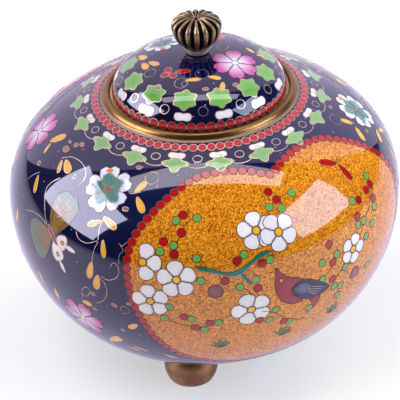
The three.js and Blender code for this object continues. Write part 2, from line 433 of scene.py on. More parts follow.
def body_profile():
    """One line of base, flank, recess, hole, inner wall and floor, and the flank's start and length."""
    outside = body_outline(FLANK_STEPS)
    skin = Turned(body_outline(INSIDE_STEPS))
    inside = np.stack([skin.r - WALL * skin.normal_r, skin.z - WALL * skin.normal_z], -1)[::-1]
    seat = SHOULDER_Z - RECESS
    mouth = [(SHOULDER_RADIUS, seat), (LIP_RADIUS, seat), (LIP_RADIUS, seat - LIP)]
    floor = [(0.5 * BASE_RADIUS, BASE_Z + WALL), (0, BASE_Z + WALL)]
    base = [(0, BASE_Z), (0.5 * BASE_RADIUS, BASE_Z), (0.97 * BASE_RADIUS, BASE_Z)]
    return np.vstack([base, outside, mouth, inside, floor]), len(base), len(outside)


profile, flank_start, flank_rows = body_profile()
points, faces = closed_turning(profile, BODY_COLUMNS)
flank = slice((flank_start - 1) * BODY_COLUMNS, (flank_start - 1 + flank_rows) * BODY_COLUMNS)
inside = np.zeros(len(points))
inside[flank.stop:] = 1
# The last two points are the poles: the base's, which is outside, and the floor's.
inside[-2] = 0
to_panel = np.full(len(points), FAR_FROM_PANEL)
azimuths = np.arctan2(points[flank, 0], -points[flank, 1])
heights = np.repeat(np.interp(body_outline(FLANK_STEPS)[:, 1], jar.z, jar.s), BODY_COLUMNS)
for block in np.array_split(np.arange(len(azimuths)), BLOCKS):
    to_panel[flank.start + block] = panel_distance(azimuths[block], heights[block])
jar_body = make_piece("enamel_jar", points, faces,
                      {"to_panel": to_panel, "inside": inside}, ["jar_body"])

# %% [markdown]
# ## The lid
# The lid is a thin dome, hollow below, that only rests on the collar's ledge. It is made in the same
# way, from the inside of the pole down to the edge and up the outside to the pole again.

# %% The lid
LID_COLUMNS = 240
LID_STEPS = 48
LID_BEVEL, LID_BEVEL_RISE = 0.15, 0.12
outer_dome = dome_outline(LID_RADIUS, LID_RISE, LID_STEPS)
inner_dome = dome_outline(LID_RADIUS - LID_WALL, LID_RISE - LID_WALL, LID_STEPS // 3)[::-1]
inner_dome[0, 0] = 0
outer_dome[-1, 0] = 0
edge = [(LID_RADIUS - LID_WALL, LID_RIM_Z), (LID_RADIUS - LID_BEVEL, LID_RIM_Z),
        (LID_RADIUS, LID_RIM_Z + LID_BEVEL_RISE)]
profile = np.vstack([inner_dome, edge, outer_dome])
points, faces = closed_turning(profile, LID_COLUMNS)
inside = np.zeros(len(points))
inside[:(len(inner_dome) - 1) * LID_COLUMNS] = 1
inside[-2] = 1
enamel_lid = make_piece("enamel_lid", points, faces, {"inside": inside}, ["lid"])

# %% [markdown]
# ## The mouth collar
# A brass ring is let into the shoulder. Its rounded crest catches a bright line of light, the ledge inside
# it carries the lid and is painted paler, a painted light that lifts it out of the shade it sits in, and its
# worn foot is brown and dull where it meets the enamel. The section is given as a list of points and carried
# round the axis. Each point keeps its distance from the axis, so that the material can tell crest, ledge and
# foot apart.

# %% The collar
COLLAR_COLUMNS = 240
COLLAR_SECTION = [(29.95, 85.45), (29.95, 85.78), (29.5, 86.02), (29.2, 86.3), (28.95, 86.85), (28.45, 87.4),
                  (27.8, 87.6), (27.25, 87.4), (27.0, 86.95), (26.95, 86.5), (26.5, 86.4), (25.4, 86.4),
                  (24.3, 86.38), (23.95, 86.15), (23.9, 85.7), (24.0, 85.4), (25.4, 85.3), (25.5, 84.6),
                  (25.5, 83.5), (25.9, 83.4), (26.5, 83.45), (26.6, 84.6), (26.8, 85.3), (28.5, 85.3)]
section = smooth_path(COLLAR_SECTION, 3, closed=True)
points = turned_grid(section, COLLAR_COLUMNS).reshape(-1, 3)
faces = grid_quads(len(section), COLLAR_COLUMNS, close_rows=True).tolist()
radii = np.hypot(points[:, 0], points[:, 1])
mouth_collar = make_piece("mouth_collar_ring", points, faces, {"reach": radii},
                          ["mouth_collar"])

# %% [markdown]
# ## The knob
# The knob is a gadrooned ball: sixteen round ribs with deep grooves between them run from the foot
# over the crown and down into a dimple. The groove is cut along the profile's own normal, so it
# shows on the flat crown too. How deep a point lies in a groove is kept for the dark patina.

# %% The knob
KNOB_LOW, KNOB_HIGH = node_box("knob")
KNOB_RADIUS = KNOB_HIGH[0]
KNOB_FOOT_RADIUS = 2.4
KNOB_CENTRE_Z = KNOB_LOW[2] + math.sqrt(KNOB_RADIUS**2 - KNOB_FOOT_RADIUS**2)
KNOB_CROWN = 3.3
KNOB_FULLNESS = 0.8
KNOB_DIMPLE = 1.3
KNOB_DIMPLE_RADIUS = 3.6
RIBS = 16
GROOVE_DEPTH = 1.15
COLUMNS_PER_RIB = 12
UNDER_STEPS, OVER_STEPS = 26, 30
RIB_ROUNDNESS = 0.9
FADE_SHARE, FADE_POWER = 0.55, 0.8
PATINA_GAIN = 2.2
LEAST_RADIUS = 0.02


def knob_profile():
    """A ball below its widest ring, a flat ellipse above it, less a dimple of cosine shape."""
    lowest = -math.acos(KNOB_FOOT_RADIUS / KNOB_RADIUS)
    under = np.linspace(lowest, 0, UNDER_STEPS)
    over = np.linspace(0, 0.5 * math.pi, OVER_STEPS)[1:]
    ball = np.stack([KNOB_RADIUS * np.cos(under), KNOB_CENTRE_Z + KNOB_RADIUS * np.sin(under)], -1)
    crown_r = KNOB_RADIUS * np.clip(np.cos(over), 0, 1) ** KNOB_FULLNESS
    dip = np.clip(1 - crown_r / KNOB_DIMPLE_RADIUS, 0, 1)
    crown_z = KNOB_CENTRE_Z + KNOB_CROWN * np.sin(over) - KNOB_DIMPLE * (0.5 - 0.5 * np.cos(math.pi * dip))
    crown_r[-1] = 0
    foot = [(0, KNOB_LOW[2]), (0.6 * KNOB_FOOT_RADIUS, KNOB_LOW[2])]
    return np.vstack([foot, ball, np.stack([crown_r, crown_z], -1)])


def groove_at(r, a):
    """The groove, 1 - |cos| of half the ribs' angle, and the share of it that is left near the axis."""
    groove = 1 - np.abs(np.cos(0.5 * RIBS * a)) ** RIB_ROUNDNESS
    return groove, np.clip(r / (FADE_SHARE * KNOB_RADIUS), 0, 1) ** FADE_POWER


def ribbed(r, z, a):
    """Moves the wall in along its normal by the groove."""
    groove, fade = groove_at(r, a)
    depth = GROOVE_DEPTH * groove * fade
    normal_r, normal_z = skin.normal_r[:len(r), None], skin.normal_z[:len(r), None]
    return np.maximum(r - depth * normal_r, LEAST_RADIUS), z - depth * normal_z


profile = knob_profile()
skin = Turned(profile[1:])
knob_columns = RIBS * COLUMNS_PER_RIB
points, faces = closed_turning(profile, knob_columns, ribbed)
groove, fade = groove_at(profile[1:-1, :1], angles(knob_columns))
grooves = np.append(groove * np.clip(PATINA_GAIN * fade, 0, 1), [1.0, 1.0])
knob = make_piece("gadrooned_knob", points, faces, {"groove": grooves}, ["knob"])

# %% [markdown]
# ## The calyx
# A pale brass cup with six petals holds the knob. It could be a cone with six notches cut in it; here
# the turned wall is drawn in between the petals, more so towards the rim, and the foot stays round.

# %% The calyx
CALYX_Z = node_box("knob_calyx")[0][2]
CALYX_PETALS = 6
CALYX_COLUMNS = 120
PETAL_DEPTH, PETAL_DROP = 0.2, 0.35
VALLEY_POWER = 1.5
PETAL_START, PETAL_SPREAD = 3.2, 0.9
CALYX_SECTION = [(3.0, 0.0), (3.35, 0.05), (3.4, 0.4), (3.8, 0.9), (4.2, 1.4), (4.25, 1.6), (4.0, 1.65),
                 (3.4, 1.3), (2.4, 1.2)]


def scalloped(r, z, a):
    """Petals: the rim is drawn in and down between them by 1 - |cos| of half their angle."""
    valley = 1 - np.abs(np.cos(0.5 * CALYX_PETALS * a + 0.5 * math.pi))
    spread = np.clip((r - PETAL_START) / PETAL_SPREAD, 0, 1)
    return r * (1 - PETAL_DEPTH * spread * valley**VALLEY_POWER), z - PETAL_DROP * spread * valley


wall = smooth_path(CALYX_SECTION, 4) + [0, CALYX_Z]
profile = np.vstack([[0, CALYX_Z], wall, [0, wall[-1, 1]]])
points, faces = closed_turning(profile, CALYX_COLUMNS, scalloped)
calyx = make_piece("petal_calyx", points, faces, replaces=["knob_calyx"])

# %% [markdown]
# ## The feet
# Each foot is a brass ball, flat where it stands. Its top is trimmed to the underside of the jar by
# taking, at every point, the lower of the ball and the jar's skin a hair inside the wall.

# %% The feet
FOOT_SINK = 0.6
FOOT_CENTRE_Z = 4.4
FOOT_COLUMNS, FOOT_ROWS = 72, 40
underside = body_outline(200)
underside = underside[underside[:, 1] < EQUATOR_Z]


def foot_shape(centre, radius):
    """A ball by angle and height from the ground up, capped by the jar's underside."""
    lowest = math.asin(-centre[2] / radius)
    lift = np.linspace(lowest, 0.5 * math.pi, FOOT_ROWS)[:-1]
    lift, a = np.meshgrid(lift, angles(FOOT_COLUMNS), indexing="ij")
    ball = np.stack([np.cos(lift) * np.sin(a), -np.cos(lift) * np.cos(a), np.sin(lift)], -1)
    walls = (centre + radius * ball).reshape(-1, 3)
    points = np.vstack([walls, [centre[0], centre[1], 0.0], centre + [0, 0, radius]])
    cap = np.interp(np.hypot(points[:, 0], points[:, 1]), *underside.T) + FOOT_SINK
    points[:, 2] = np.minimum(points[:, 2], cap)
    return points


feet = []
for number in (1, 2, 3):
    node = f"foot_{number}"
    low, high = node_box(node)
    middle = np.array([*(0.5 * (low + high))[:2], FOOT_CENTRE_Z])
    points = foot_shape(middle, 0.5 * (high[0] - low[0]))
    faces = closed_faces(FOOT_ROWS - 1, FOOT_COLUMNS)
    feet.append(make_piece(f"bun_{node}", points, faces, replaces=[node]))

# %% [markdown]
# ## Trays for cells and wires
# Each coloured cell is a thin closed tablet of enamel, and each cloison a thin wire along its outline.
# Thousands of small objects would be slow to handle, so all shapes of one finish are collected on
# a tray, and each tray becomes one mesh at the end.

# %% Trays


class Tray:
    """Collects shapes of one finish, with two numbers per point: across a cell, and its tone."""

    def __init__(self):
        self.points, self.faces, self.across, self.tone, self.smooth, self.count = [], [], [], [], [], 0

    def add(self, points, faces, across, tone, flat_from=None):
        """Takes a shape; its groups of faces from flat_from on keep a hard edge."""
        self.points.append(points)
        for number, group in enumerate(faces):
            self.faces += (group + self.count).tolist()
            self.smooth += [flat_from is None or number < flat_from] * len(group)
        self.across.append(across)
        self.tone.append(np.full(len(points), tone))
        self.count += len(points)

    def piece(self, name, slot):
        """One mesh of all that was collected."""
        attributes = {"across": np.concatenate(self.across), "tone": np.concatenate(self.tone)}
        return make_piece(name, np.vstack(self.points), self.faces, attributes, smooth=self.smooth)


trays = {}


def tray(surface, finish):
    """The tray of a surface and a finish, new when it is first asked for."""
    key = ("jar" if surface is jar else "lid", finish)
    return trays.setdefault(key, Tray())


print("trays so far:", len(trays))

# %% [markdown]
# ## A cell
# Rings of points shrink from the outline to its middle, so that a large tablet follows the curve of
# the wall, and a skirt goes down into the wall. One random number, the tone, makes each cell a little
# different from its neighbours.

# %% Cells
CELL_LIFT = 0.03
CELL_DEPTH = 0.12
LAYER = 0.03
CELL_RING = 1.4
CELL_RIM, CELL_RIM_MOST = 0.12, 0.3


def lay_cell(surface, finish, spot, outline, grade=None, layer=0):
    """A tablet of enamel inside a counter-clockwise outline of flat points about a spot."""
    count, middle = len(outline), outline.mean(0)
    reach = np.linalg.norm(outline - middle, axis=1)
    rings = max(1, math.ceil(reach.max() / CELL_RING))
    rim = 1 - min(CELL_RIM / reach.min(), CELL_RIM_MOST)
    share = np.append(rim * np.linspace(0, 1, rings + 1), 1.0)
    rings += 1
    flat = (middle + share[1:, None, None] * (outline - middle)).reshape(-1, 2)
    top = np.vstack([middle, flat])
    points = np.vstack([surface.lay(spot, top, CELL_LIFT + LAYER * layer),
                        surface.lay(spot, outline, -CELL_DEPTH),
                        surface.lay(spot, middle[None], -CELL_DEPTH)])
    across = grade(top) if grade else np.concatenate([[0.0], np.repeat(share[1:], count)])
    across = np.concatenate([across, np.ones(count + 1)])
    i = np.arange(count)
    j = (i + 1) % count
    k = 1 + count * np.arange(rings)[:, None]
    walls = np.stack([k + i, k + count + i, k + count + j, k + j], -1)
    last = 1 + count * rings
    faces = [np.stack([np.zeros(count, int), 1 + i, 1 + j], -1), walls[:-1].reshape(-1, 4), walls[-1],
             np.stack([np.full(count, last + count), last + j, last + i], -1)]
    tray(surface, finish).add(points, faces, across, rng.random(), flat_from=2)


print("a cell stands", CELL_LIFT, "mm proud, and each layer adds", LAYER)

# %% [markdown]
# ## A wire
# A cloison is a ribbon set on edge, and only its polished top shows. So its section is a small box
# with a flat top, carried along the line and tilted with the wall's normal. Four finer gauges, given
# by their half widths, are for small cells and for lines of bare wire.

# %% Wires
WIRE_HALF = 0.11
FIRM_HALF, SLIM_HALF, FINE_HALF, HAIR_HALF = 0.09, 0.08, 0.07, 0.06
WIRE_RISE = 0.045


def lay_wire(surface, finish, spot, path, half=WIRE_HALF, closed=True, layer=0):
    """A flat-topped wire along flat points about a spot; its half width may change on the way."""
    rise = WIRE_RISE + LAYER * layer
    a, s = surface.chart(spot, path)
    middle, normal = surface.point(a, s), surface.normal(a, s)
    if closed:
        along = np.roll(middle, -1, 0) - np.roll(middle, 1, 0)
    else:
        along = np.gradient(middle, axis=0)
    side = np.cross(along, normal)
    side = side / np.linalg.norm(side, axis=1)[:, None] * np.broadcast_to(half, len(path))[:, None]
    top, root = middle + rise * normal, middle - CELL_DEPTH * normal
    points = np.stack([root + side, top + side, top - side, root - side], 1)
    count = len(path)
    i = np.arange(count if closed else count - 1)[:, None]
    j, c, d = (i + 1) % count, np.arange(4), (np.arange(4) + 1) % 4
    faces = [np.stack([4 * i + c, 4 * j + c, 4 * j + d, 4 * i + d], -1).reshape(-1, 4)]
    if not closed:
        faces.append(np.array([[0, 1, 2, 3], [4 * count - 1, 4 * count - 2, 4 * count - 3, 4 * count - 4]]))
    across = np.tile([1.0, 0.0, 0.0, 1.0], count)
    tray(surface, finish).add(points.reshape(-1, 3), faces, across, rng.random(), flat_from=0)


def inlay(surface, finish, spot, outline, wire="wire", grade=None, half=WIRE_HALF, layer=0):
    """A cell with its wire; a higher layer covers what lies below it."""
    lay_cell(surface, finish, spot, outline, grade, layer)
    lay_wire(surface, wire, spot, outline, half, layer=layer)


print("a wire is", 2 * WIRE_HALF, "mm wide and stands", WIRE_RISE, "mm proud")

# %% [markdown]
# ## Outlines of the ornaments
# The ornaments are the common stock of the craft: beads, blossoms, leaves, stars, hourglass pieces,
# butterflies and scrolls. Each outline is a formula in flat millimetres, with x to the right and y up.

# %% Petals and leaves
NOTCH_POWER, RIPPLES = 6, 9
LEAF_PLUMPNESS = 0.25


def turn(xy, degrees):
    """Turns flat points counter-clockwise about their spot."""
    c, s = math.cos(math.radians(degrees)), math.sin(math.radians(degrees))
    return xy @ np.array([[c, s], [-s, c]])


def oval(width, height, count=16):
    """An ellipse: half the width times cos, half the height times sin."""
    t = angles(count)
    return np.stack([0.5 * width * np.cos(t), 0.5 * height * np.sin(t)], -1)


def petal(base, tip, width, count=22, full=0.25, notch=0.0, ripple=0.0):
    """A petal along y: y swings from base to tip as (1 - cos)/2, x swells as sin, fuller near the tip.

    A notch dents the tip, and a ripple waves the outer edge.
    """
    t = angles(count)
    outer = np.clip(-np.cos(t), 0, 1)
    y = base + (tip - base) * 0.5 * (1 - np.cos(t))
    y = y - notch * outer**NOTCH_POWER + ripple * outer * np.cos(RIPPLES * t)
    return np.stack([0.5 * width * np.sin(t) * (1 - full * np.cos(t)), y], -1)


def leaf(length, width, bend=0.0, count=20):
    """A leaf along y with pointed ends: x swells as sin, and its middle line bends as a square."""
    t = angles(count)
    y = 0.5 * length * (1 - np.cos(t))
    x = 0.5 * width * np.sin(t) * (1 - LEAF_PLUMPNESS + LEAF_PLUMPNESS * np.abs(np.sin(t)))
    return np.stack([x + bend * (y / length - 0.5) ** 2 * 4, y], -1)


print("a petal has", len(petal(1, 6, 5)), "points and a leaf", len(leaf(4, 1)))

# %% [markdown]
# ## Outlines of the borders
# The borders need an hourglass piece, a star and a scroll. Each is an oval whose radius or height is
# multiplied by a wave of the angle, which keeps the outline smooth with few points.

# %% Hourglass pieces, stars and scrolls
HOURGLASS_SHARE, HOURGLASS_POWER = 0.62, 1.2
STAR_POWER = 1.5
SCROLL_FALL = 0.82


def hourglass(width, height, waist=0.5, count=24):
    """An oval whose height is drawn in to a waist at its middle."""
    t = angles(count)
    drawn = waist + (1 - waist) * np.abs(np.cos(t)) ** HOURGLASS_POWER
    return np.stack([0.5 * width * np.cos(t), HOURGLASS_SHARE * height * np.sin(t) * drawn], -1)


def star(width, height, points, depth=0.45, count=48):
    """A star with points and round hollows: the radius falls as a power of |sin| of half their angle."""
    t = angles(count)
    reach = 1 - depth * np.abs(np.sin(0.5 * points * t)) ** STAR_POWER
    return np.stack([0.5 * width * reach * np.cos(t), 0.5 * height * reach * np.sin(t)], -1)


def spiral(radius, turns, start=0.0, count=40):
    """A scroll: the radius falls with the angle, from the outer end to a small eye."""
    t = np.linspace(0, 1, count)
    angle = start + 2 * math.pi * turns * t
    reach = radius * (1 - SCROLL_FALL * t)
    return np.stack([reach * np.cos(angle), reach * np.sin(angle)], -1)


print("an hourglass piece has", len(hourglass(5, 2)), "points and a star", len(star(8, 6, 4)))

# %% [markdown]
# ## Bead rings and borders
# A ring of red beads runs round the collar and another round the lid's edge. Next to each comes a
# border of white hourglass pieces with a green star under or over every one, and a ringed navy cell
# between them. The counts come from the spacing that shows at the front.

# %% Beads and borders
COLLAR_BEADS, COLLAR_BEAD_S = 76, 111.6
LID_BEADS, LID_BEAD_S = 57, 1.75
BEAD_ACROSS, LID_BEAD_ACROSS = 2.52, 2.78
BORDER_UNITS, BORDER_START = 18, math.radians(-12.5)
BORDER_WHITE, BORDER_WHITE_S = hourglass(4.9, 2.3), 108.75
BORDER_STAR, BORDER_STAR_S = star(8.2, 6.0, 4, 0.42), 105.9
BORDER_RING, BORDER_RING_S = oval(2.7, 2.3), 107.7
SCALLOP_S, SCALLOP_SPAN_S = 106.2, 105.5
SCALLOP_SHARE, SCALLOP_DROP = 0.52, 1.6
LID_UNITS, LID_START = 13, math.radians(-12)
LID_WHITE, LID_WHITE_S = hourglass(5.2, 3.2), 4.75
LID_STAR, LID_STAR_S = turn(star(7.0, 7.6, 6, 0.24), 90), 10.0
LID_RING, LID_RING_S = oval(2.8, 2.8), 6.4


def ring_of(count, start=0.0):
    """Equal azimuths round the axis, from a start."""
    return start + angles(count)


def bead(surface, spot, across=BEAD_ACROSS, wire="wire"):
    """A round red cell in a fine wire."""
    inlay(surface, "red", spot, oval(across, across, 12), wire, half=SLIM_HALF)


for a in ring_of(COLLAR_BEADS):
    bead(jar, (a, COLLAR_BEAD_S))
for a in ring_of(LID_BEADS):
    bead(lid, (a, LID_BEAD_S), LID_BEAD_ACROSS)

half_unit = math.pi / BORDER_UNITS
reach = half_unit * jar.radius(SCALLOP_SPAN_S)
t = np.linspace(-1, 1, 17)
scallop = np.stack([SCALLOP_SHARE * reach * t, -SCALLOP_DROP * np.sqrt(np.clip(1 - t**2, 0, 1))], -1)
for a in ring_of(BORDER_UNITS, BORDER_START):
    inlay(jar, "white", (a, BORDER_WHITE_S), BORDER_WHITE)
    inlay(jar, "border_green", (a, BORDER_STAR_S), BORDER_STAR)
    lay_wire(jar, "wire", (a + half_unit, BORDER_RING_S), BORDER_RING)
    lay_wire(jar, "wire", (a + half_unit, SCALLOP_S), scallop, closed=False)

half_unit = math.pi / LID_UNITS
for a in ring_of(LID_UNITS, LID_START):
    inlay(lid, "white", (a, LID_WHITE_S), LID_WHITE)
    inlay(lid, "green", (a, LID_STAR_S), LID_STAR)
    lay_wire(lid, "wire", (a + half_unit, LID_RING_S), LID_RING)
print("border units", BORDER_UNITS, "on the jar and", LID_UNITS, "on the lid")

# %% [markdown]
# ## The panels' edge
# A string of red beads follows each panel's outline. The beads sit at equal steps of true length
# along the line on the curved flank.

# %% Beads round the panels
PANEL_BEAD_STEP = 2.65
PANEL_BEAD_ACROSS = 2.56


def even_spots(a, s, step):
    """Spots at equal true distances along a closed line on the jar."""
    line = jar.point(a, s)
    line = np.vstack([line, line[:1]])
    run = np.concatenate([[0], np.cumsum(np.linalg.norm(np.diff(line, axis=0), axis=1))])
    where = np.linspace(0, run[-1], round(run[-1] / step), endpoint=False)
    ends = np.append(a, a[0]), np.append(s, s[0])
    return np.stack([np.interp(where, run, values) for values in ends], -1)


edge_line = panel_outline(20)
for middle in PANEL_MIDDLES:
    spots = even_spots(edge_line[:, 0] + middle, edge_line[:, 1], PANEL_BEAD_STEP)
    for spot in spots:
        bead(jar, tuple(spot), PANEL_BEAD_ACROSS, "dark_wire")
    print(len(spots), "beads round a panel")

# %% [markdown]
# ## Blossom and bird on the goldstone
# White five-petalled blossoms with yellow hearts grow on a dark green branch, with red berries, green
# buds and a small bird below. Their places at the front are read off the picture as pixels, and
# a ray finds each spot on the flank. The twin panel behind repeats the main sprays mirrored, plainer.

# %% Finding spots
BLOSSOM_PIXELS = [(142.5, 262, -20, 5.6), (176.5, 280, 8, 5.8), (150.5, 301, 15, 5.6),
                  (256.3, 230.5, 16, 5.6), (278.5, 232, 184, 5.6), (251.5, 309.5, 100, 6.0),
                  (353, 249, -13, 4.8)]
BERRY_PIXELS = [(183, 215), (181.5, 232.5), (163.5, 241.5), (174, 254.5), (237, 261), (262, 263),
                (276.5, 199.5), (258, 288), (260, 320), (329, 244.5), (358.5, 200), (210, 323),
                (196, 327.5), (268, 192), (366, 190), (370, 184), (373, 198), (357.5, 216), (333, 262),
                (332.5, 279), (284, 321), (184, 317), (225, 281)]
BUD_PIXELS = [(176, 220.5), (197, 218), (173.5, 245.5), (160, 251.5), (196.5, 258.5), (244, 254.5),
              (201, 281), (240, 287), (270, 259.5), (269, 207), (291.5, 192.5), (281.5, 208.5),
              (256, 279.5), (276, 309.5), (269.5, 319.5), (289, 321), (352, 201), (366, 176),
              (363.5, 220.5), (358, 225), (366, 236), (337, 254), (345, 267), (322.5, 279.5),
              (340.5, 285), (169.5, 307), (164.5, 318), (191.5, 319), (219, 322.5), (204.5, 329.5),
              (374, 206), (372, 223), (334, 286), (337, 294.5), (309, 307.5), (367, 264), (322, 263)]
FRONT, BACK = PANEL_MIDDLES


def spots_of(pixels):
    """The spot for each pixel, and any further values after the first two unchanged."""
    return [(jar.seen_at(p[:2]), *p[2:]) for p in pixels]


def behind(spot):
    """The spot's mirror image on the twin panel."""
    return BACK - (spot[0] - FRONT), spot[1]


def flat_path(spot, pixels):
    """Pixels of a line as flat points about a spot on the jar, smoothed."""
    return smooth_path(jar.seen_path(spot, pixels), 8)


print(len(BLOSSOM_PIXELS), "blossoms,", len(BERRY_PIXELS), "berries,", len(BUD_PIXELS), "buds at the front")

# %% [markdown]
# ## Blossoms, berries and buds
# A blossom is five round petals about a yellow heart, each a cell of its own; a berry or a bud is one
# round cell. A petal that would cross the panel's edge is left out. Neighbouring blossoms lie on
# different layers, so that one covers the other cleanly.

# %% Blossoms, berries and buds
PETAL_MARGIN = 2.4
HEART_ACROSS, HEART_WIRE_HALF = 2.5, 0.18
BERRY_ACROSS, BUD_ACROSS = 2.55, 2.4


def blossom(spot, degrees, reach, layer):
    """Five round petals, each a cell of its own, about a yellow heart; none crosses the panel's edge."""
    for k in range(5):
        outline = turn(petal(0.14 * reach, reach, 0.8 * reach, full=0.26), degrees + 72 * k)
        a, s = jar.chart(spot, outline.mean(0)[None])
        if panel_distance(a, s)[0] < -PETAL_MARGIN:
            inlay(jar, "white", spot, outline, "dark_wire", layer=layer)
    heart = oval(HEART_ACROSS, HEART_ACROSS)
    inlay(jar, "yellow", spot, heart, "dark_wire", half=HEART_WIRE_HALF, layer=layer + 1)


def berry(spot, finish, across):
    """A round cell of a finish in a wire painted dark, a painted shade."""
    inlay(jar, finish, spot, oval(across, across, 14), "dark_wire", layer=1)


for number, (spot, degrees, reach) in enumerate(spots_of(BLOSSOM_PIXELS)):
    degrees = jar.seen_turn(spot, degrees)
    layer = 1 - number % 2
    blossom(spot, degrees, reach, layer)
    blossom(behind(spot), -degrees, reach, layer)
for (spot,) in spots_of(BERRY_PIXELS):
    berry(spot, "red", BERRY_ACROSS)
    berry(behind(spot), "red", BERRY_ACROSS)
for (spot,) in spots_of(BUD_PIXELS):
    berry(spot, "green", BUD_ACROSS)
for (spot,) in spots_of(BUD_PIXELS[::2]):
    berry(behind(spot), "green", BUD_ACROSS)
print("trays so far:", len(trays))

# %% [markdown]
# ## Branches and twigs
# The branch is a broad green wire whose width swells and wavers along its length, with a wire painted dark
# at one edge and a bright one at the other. Twigs are bare wires painted dark. Both dark wires are painted
# shade. Each is drawn through pixels of the picture, and its mirror image on the panel behind runs the other
# way.

# %% Branches and twigs
BRANCH_PIXELS = [(196, 267.5), (212, 271), (228, 274.5), (240, 272), (252, 262), (262, 254.5), (272, 251)]
FORK_PIXELS = [(239, 273), (244, 277), (251, 285)]
TWIG_PIXELS = [
    [(176, 220), (183, 226), (190, 220), (197, 218)], [(174, 254), (178, 240), (184, 228)],
    [(270, 207), (277, 199), (286, 194), (291, 192)], [(240, 287), (247, 290), (252, 296)],
    [(353, 262), (345, 266), (337, 276), (330, 290)], [(366, 176), (370, 200), (364, 221), (359, 240)],
    [(165, 318), (180, 324), (200, 327), (219, 322)], [(262, 311), (276, 313), (290, 320), (305, 317)],
    [(337, 254), (331, 268), (323, 280)],
]
BRANCH_HALF, FORK_SHARE = 0.75, 0.8
END_SHARE, SWELL_SHARE, WAVER_SHARE, WAVER = 0.5, 0.4, 0.2, 17
middle_spot = jar.seen_at(BRANCH_PIXELS[3])
for pixels, half in ((BRANCH_PIXELS, BRANCH_HALF), (FORK_PIXELS, FORK_SHARE * BRANCH_HALF)):
    path = flat_path(middle_spot, pixels)
    t = np.linspace(0, 1, len(path))
    swell = half * (END_SHARE + SWELL_SHARE * np.sin(math.pi * t) + WAVER_SHARE * np.sin(WAVER * t))
    for spot, line in ((middle_spot, path), (behind(middle_spot), path[::-1] * [-1, 1])):
        lay_wire(jar, "branch", spot, line, swell, closed=False, layer=0.5)
        offset = np.stack([-np.gradient(line[:, 1]), np.gradient(line[:, 0])], -1)
        offset = offset / np.linalg.norm(offset, axis=1)[:, None] * swell[:, None]
        lay_wire(jar, "dark_wire", spot, line + offset, FIRM_HALF, closed=False, layer=1)
        lay_wire(jar, "thin_wire", spot, line - offset, SLIM_HALF, closed=False, layer=1)
for pixels in TWIG_PIXELS:
    spot = jar.seen_at(pixels[0])
    path = flat_path(spot, pixels)
    lay_wire(jar, "dark_wire", spot, path, closed=False)
    lay_wire(jar, "dark_wire", behind(spot), path[::-1] * [-1, 1], closed=False)
print("a branch with a fork and", len(TWIG_PIXELS), "twigs on each panel")

# %% [markdown]
# ## Bird, insect and sprays
# The small bird is four overlapping cells on rising layers, each a smooth loop through a few points
# about its middle, with feathers of bare wire. The insect is two slim red wings with feelers, and each
# spray a fan of leaves. The panel behind gets the sprays alone, because hidden sides stay plainer.

# %% Bird, insect and sprays
BIRD_PIXEL = (299.5, 288)
BIRD_SCALE, BIRD_WIRE_HALF = 1.1, 0.12
BIRD_BODY = [(-6.2, 8.2), (-4.9, 6.0), (-2.6, 4.4), (0.2, 3.2), (2.0, 1.2), (2.2, -2.2), (0.6, -4.6),
             (-2.2, -4.6), (-4.8, -2.8), (-6.4, 0.0), (-7.0, 3.2), (-6.7, 5.6)]
BIRD_WING = [(-2.4, 0.2), (-0.6, 1.9), (1.8, 2.3), (4.6, 0.8), (7.4, -1.2), (9.6, -3.6), (6.6, -4.9),
             (3.0, -4.8), (0.2, -3.3), (-1.7, -1.6)]
BIRD_SHOULDER = [(-1.9, 0.1), (-0.2, 1.4), (2.0, 1.2), (3.6, -0.6), (2.4, -2.4), (0.2, -2.2)]
BIRD_TAIL = [(3.2, -4.9), (6.4, -4.8), (6.4, -6.8), (5.0, -9.2), (3.6, -9.4), (4.2, -7.0)]
BIRD_EYE = oval(1.1, 1.1, 10) + [-5.7, 4.6]
MAUVE_PIXELS = [(215.5, 291.5, 4.4), (354.5, 272.5, 4.0)]
SPRAY_PIXELS = [(222, 347, 100), (281, 335, 75), (328, 313, 60)]
INSECT_PIXEL = (337.5, 163.5)


def bird(spot):
    """A small bird of plain cells: tail, body, folded wing with feather wires, and an eye."""
    cells = ((BIRD_TAIL, "bird_red", 0), (BIRD_BODY, "bird_red", 1), (BIRD_WING, "bird_blue", 2),
             (BIRD_SHOULDER, "bird_pale", 3))
    for corners, finish, layer in cells:
        outline = BIRD_SCALE * smooth_path(corners, 4, closed=True)[::-1]
        inlay(jar, finish, spot, outline, "dark_wire", half=BIRD_WIRE_HALF, layer=layer)
    inlay(jar, "yellow", spot, BIRD_EYE, "dark_wire", layer=2)
    for k in range(4):
        feather = np.stack([np.linspace(2.6, 7.6 - 0.7 * k, 8), np.linspace(-0.4, -2.6, 8) - 0.6 * k], -1)
        lay_wire(jar, "thin_wire", spot, BIRD_SCALE * feather, HAIR_HALF, closed=False, layer=3)


def spray(spot, degrees):
    """A sprig of small leaves spread like a fan."""
    for k in range(-2, 3):
        blade = turn(leaf(4.6 - 0.5 * abs(k), 0.9), degrees + 26 * k)
        inlay(jar, "moss", spot, blade, "dark_wire", half=HAIR_HALF)


def insect(spot):
    """A red insect of two slim wings and bare wire feelers."""
    for degrees, length in ((86, 6.2), (-135, 6.4)):
        outline = turn(petal(0.3, length, 2.1), jar.seen_turn(spot, degrees))
        inlay(jar, "red", spot, outline, "dark_wire", half=FINE_HALF)
    for degrees in (-35, 10, 50):
        feeler = np.stack([0.5 * np.linspace(0, 1, 8) ** 2, np.linspace(0.4, 2.8, 8)], -1)
        feeler = turn(feeler, jar.seen_turn(spot, degrees))
        lay_wire(jar, "dark_wire", spot, feeler, FINE_HALF, closed=False)


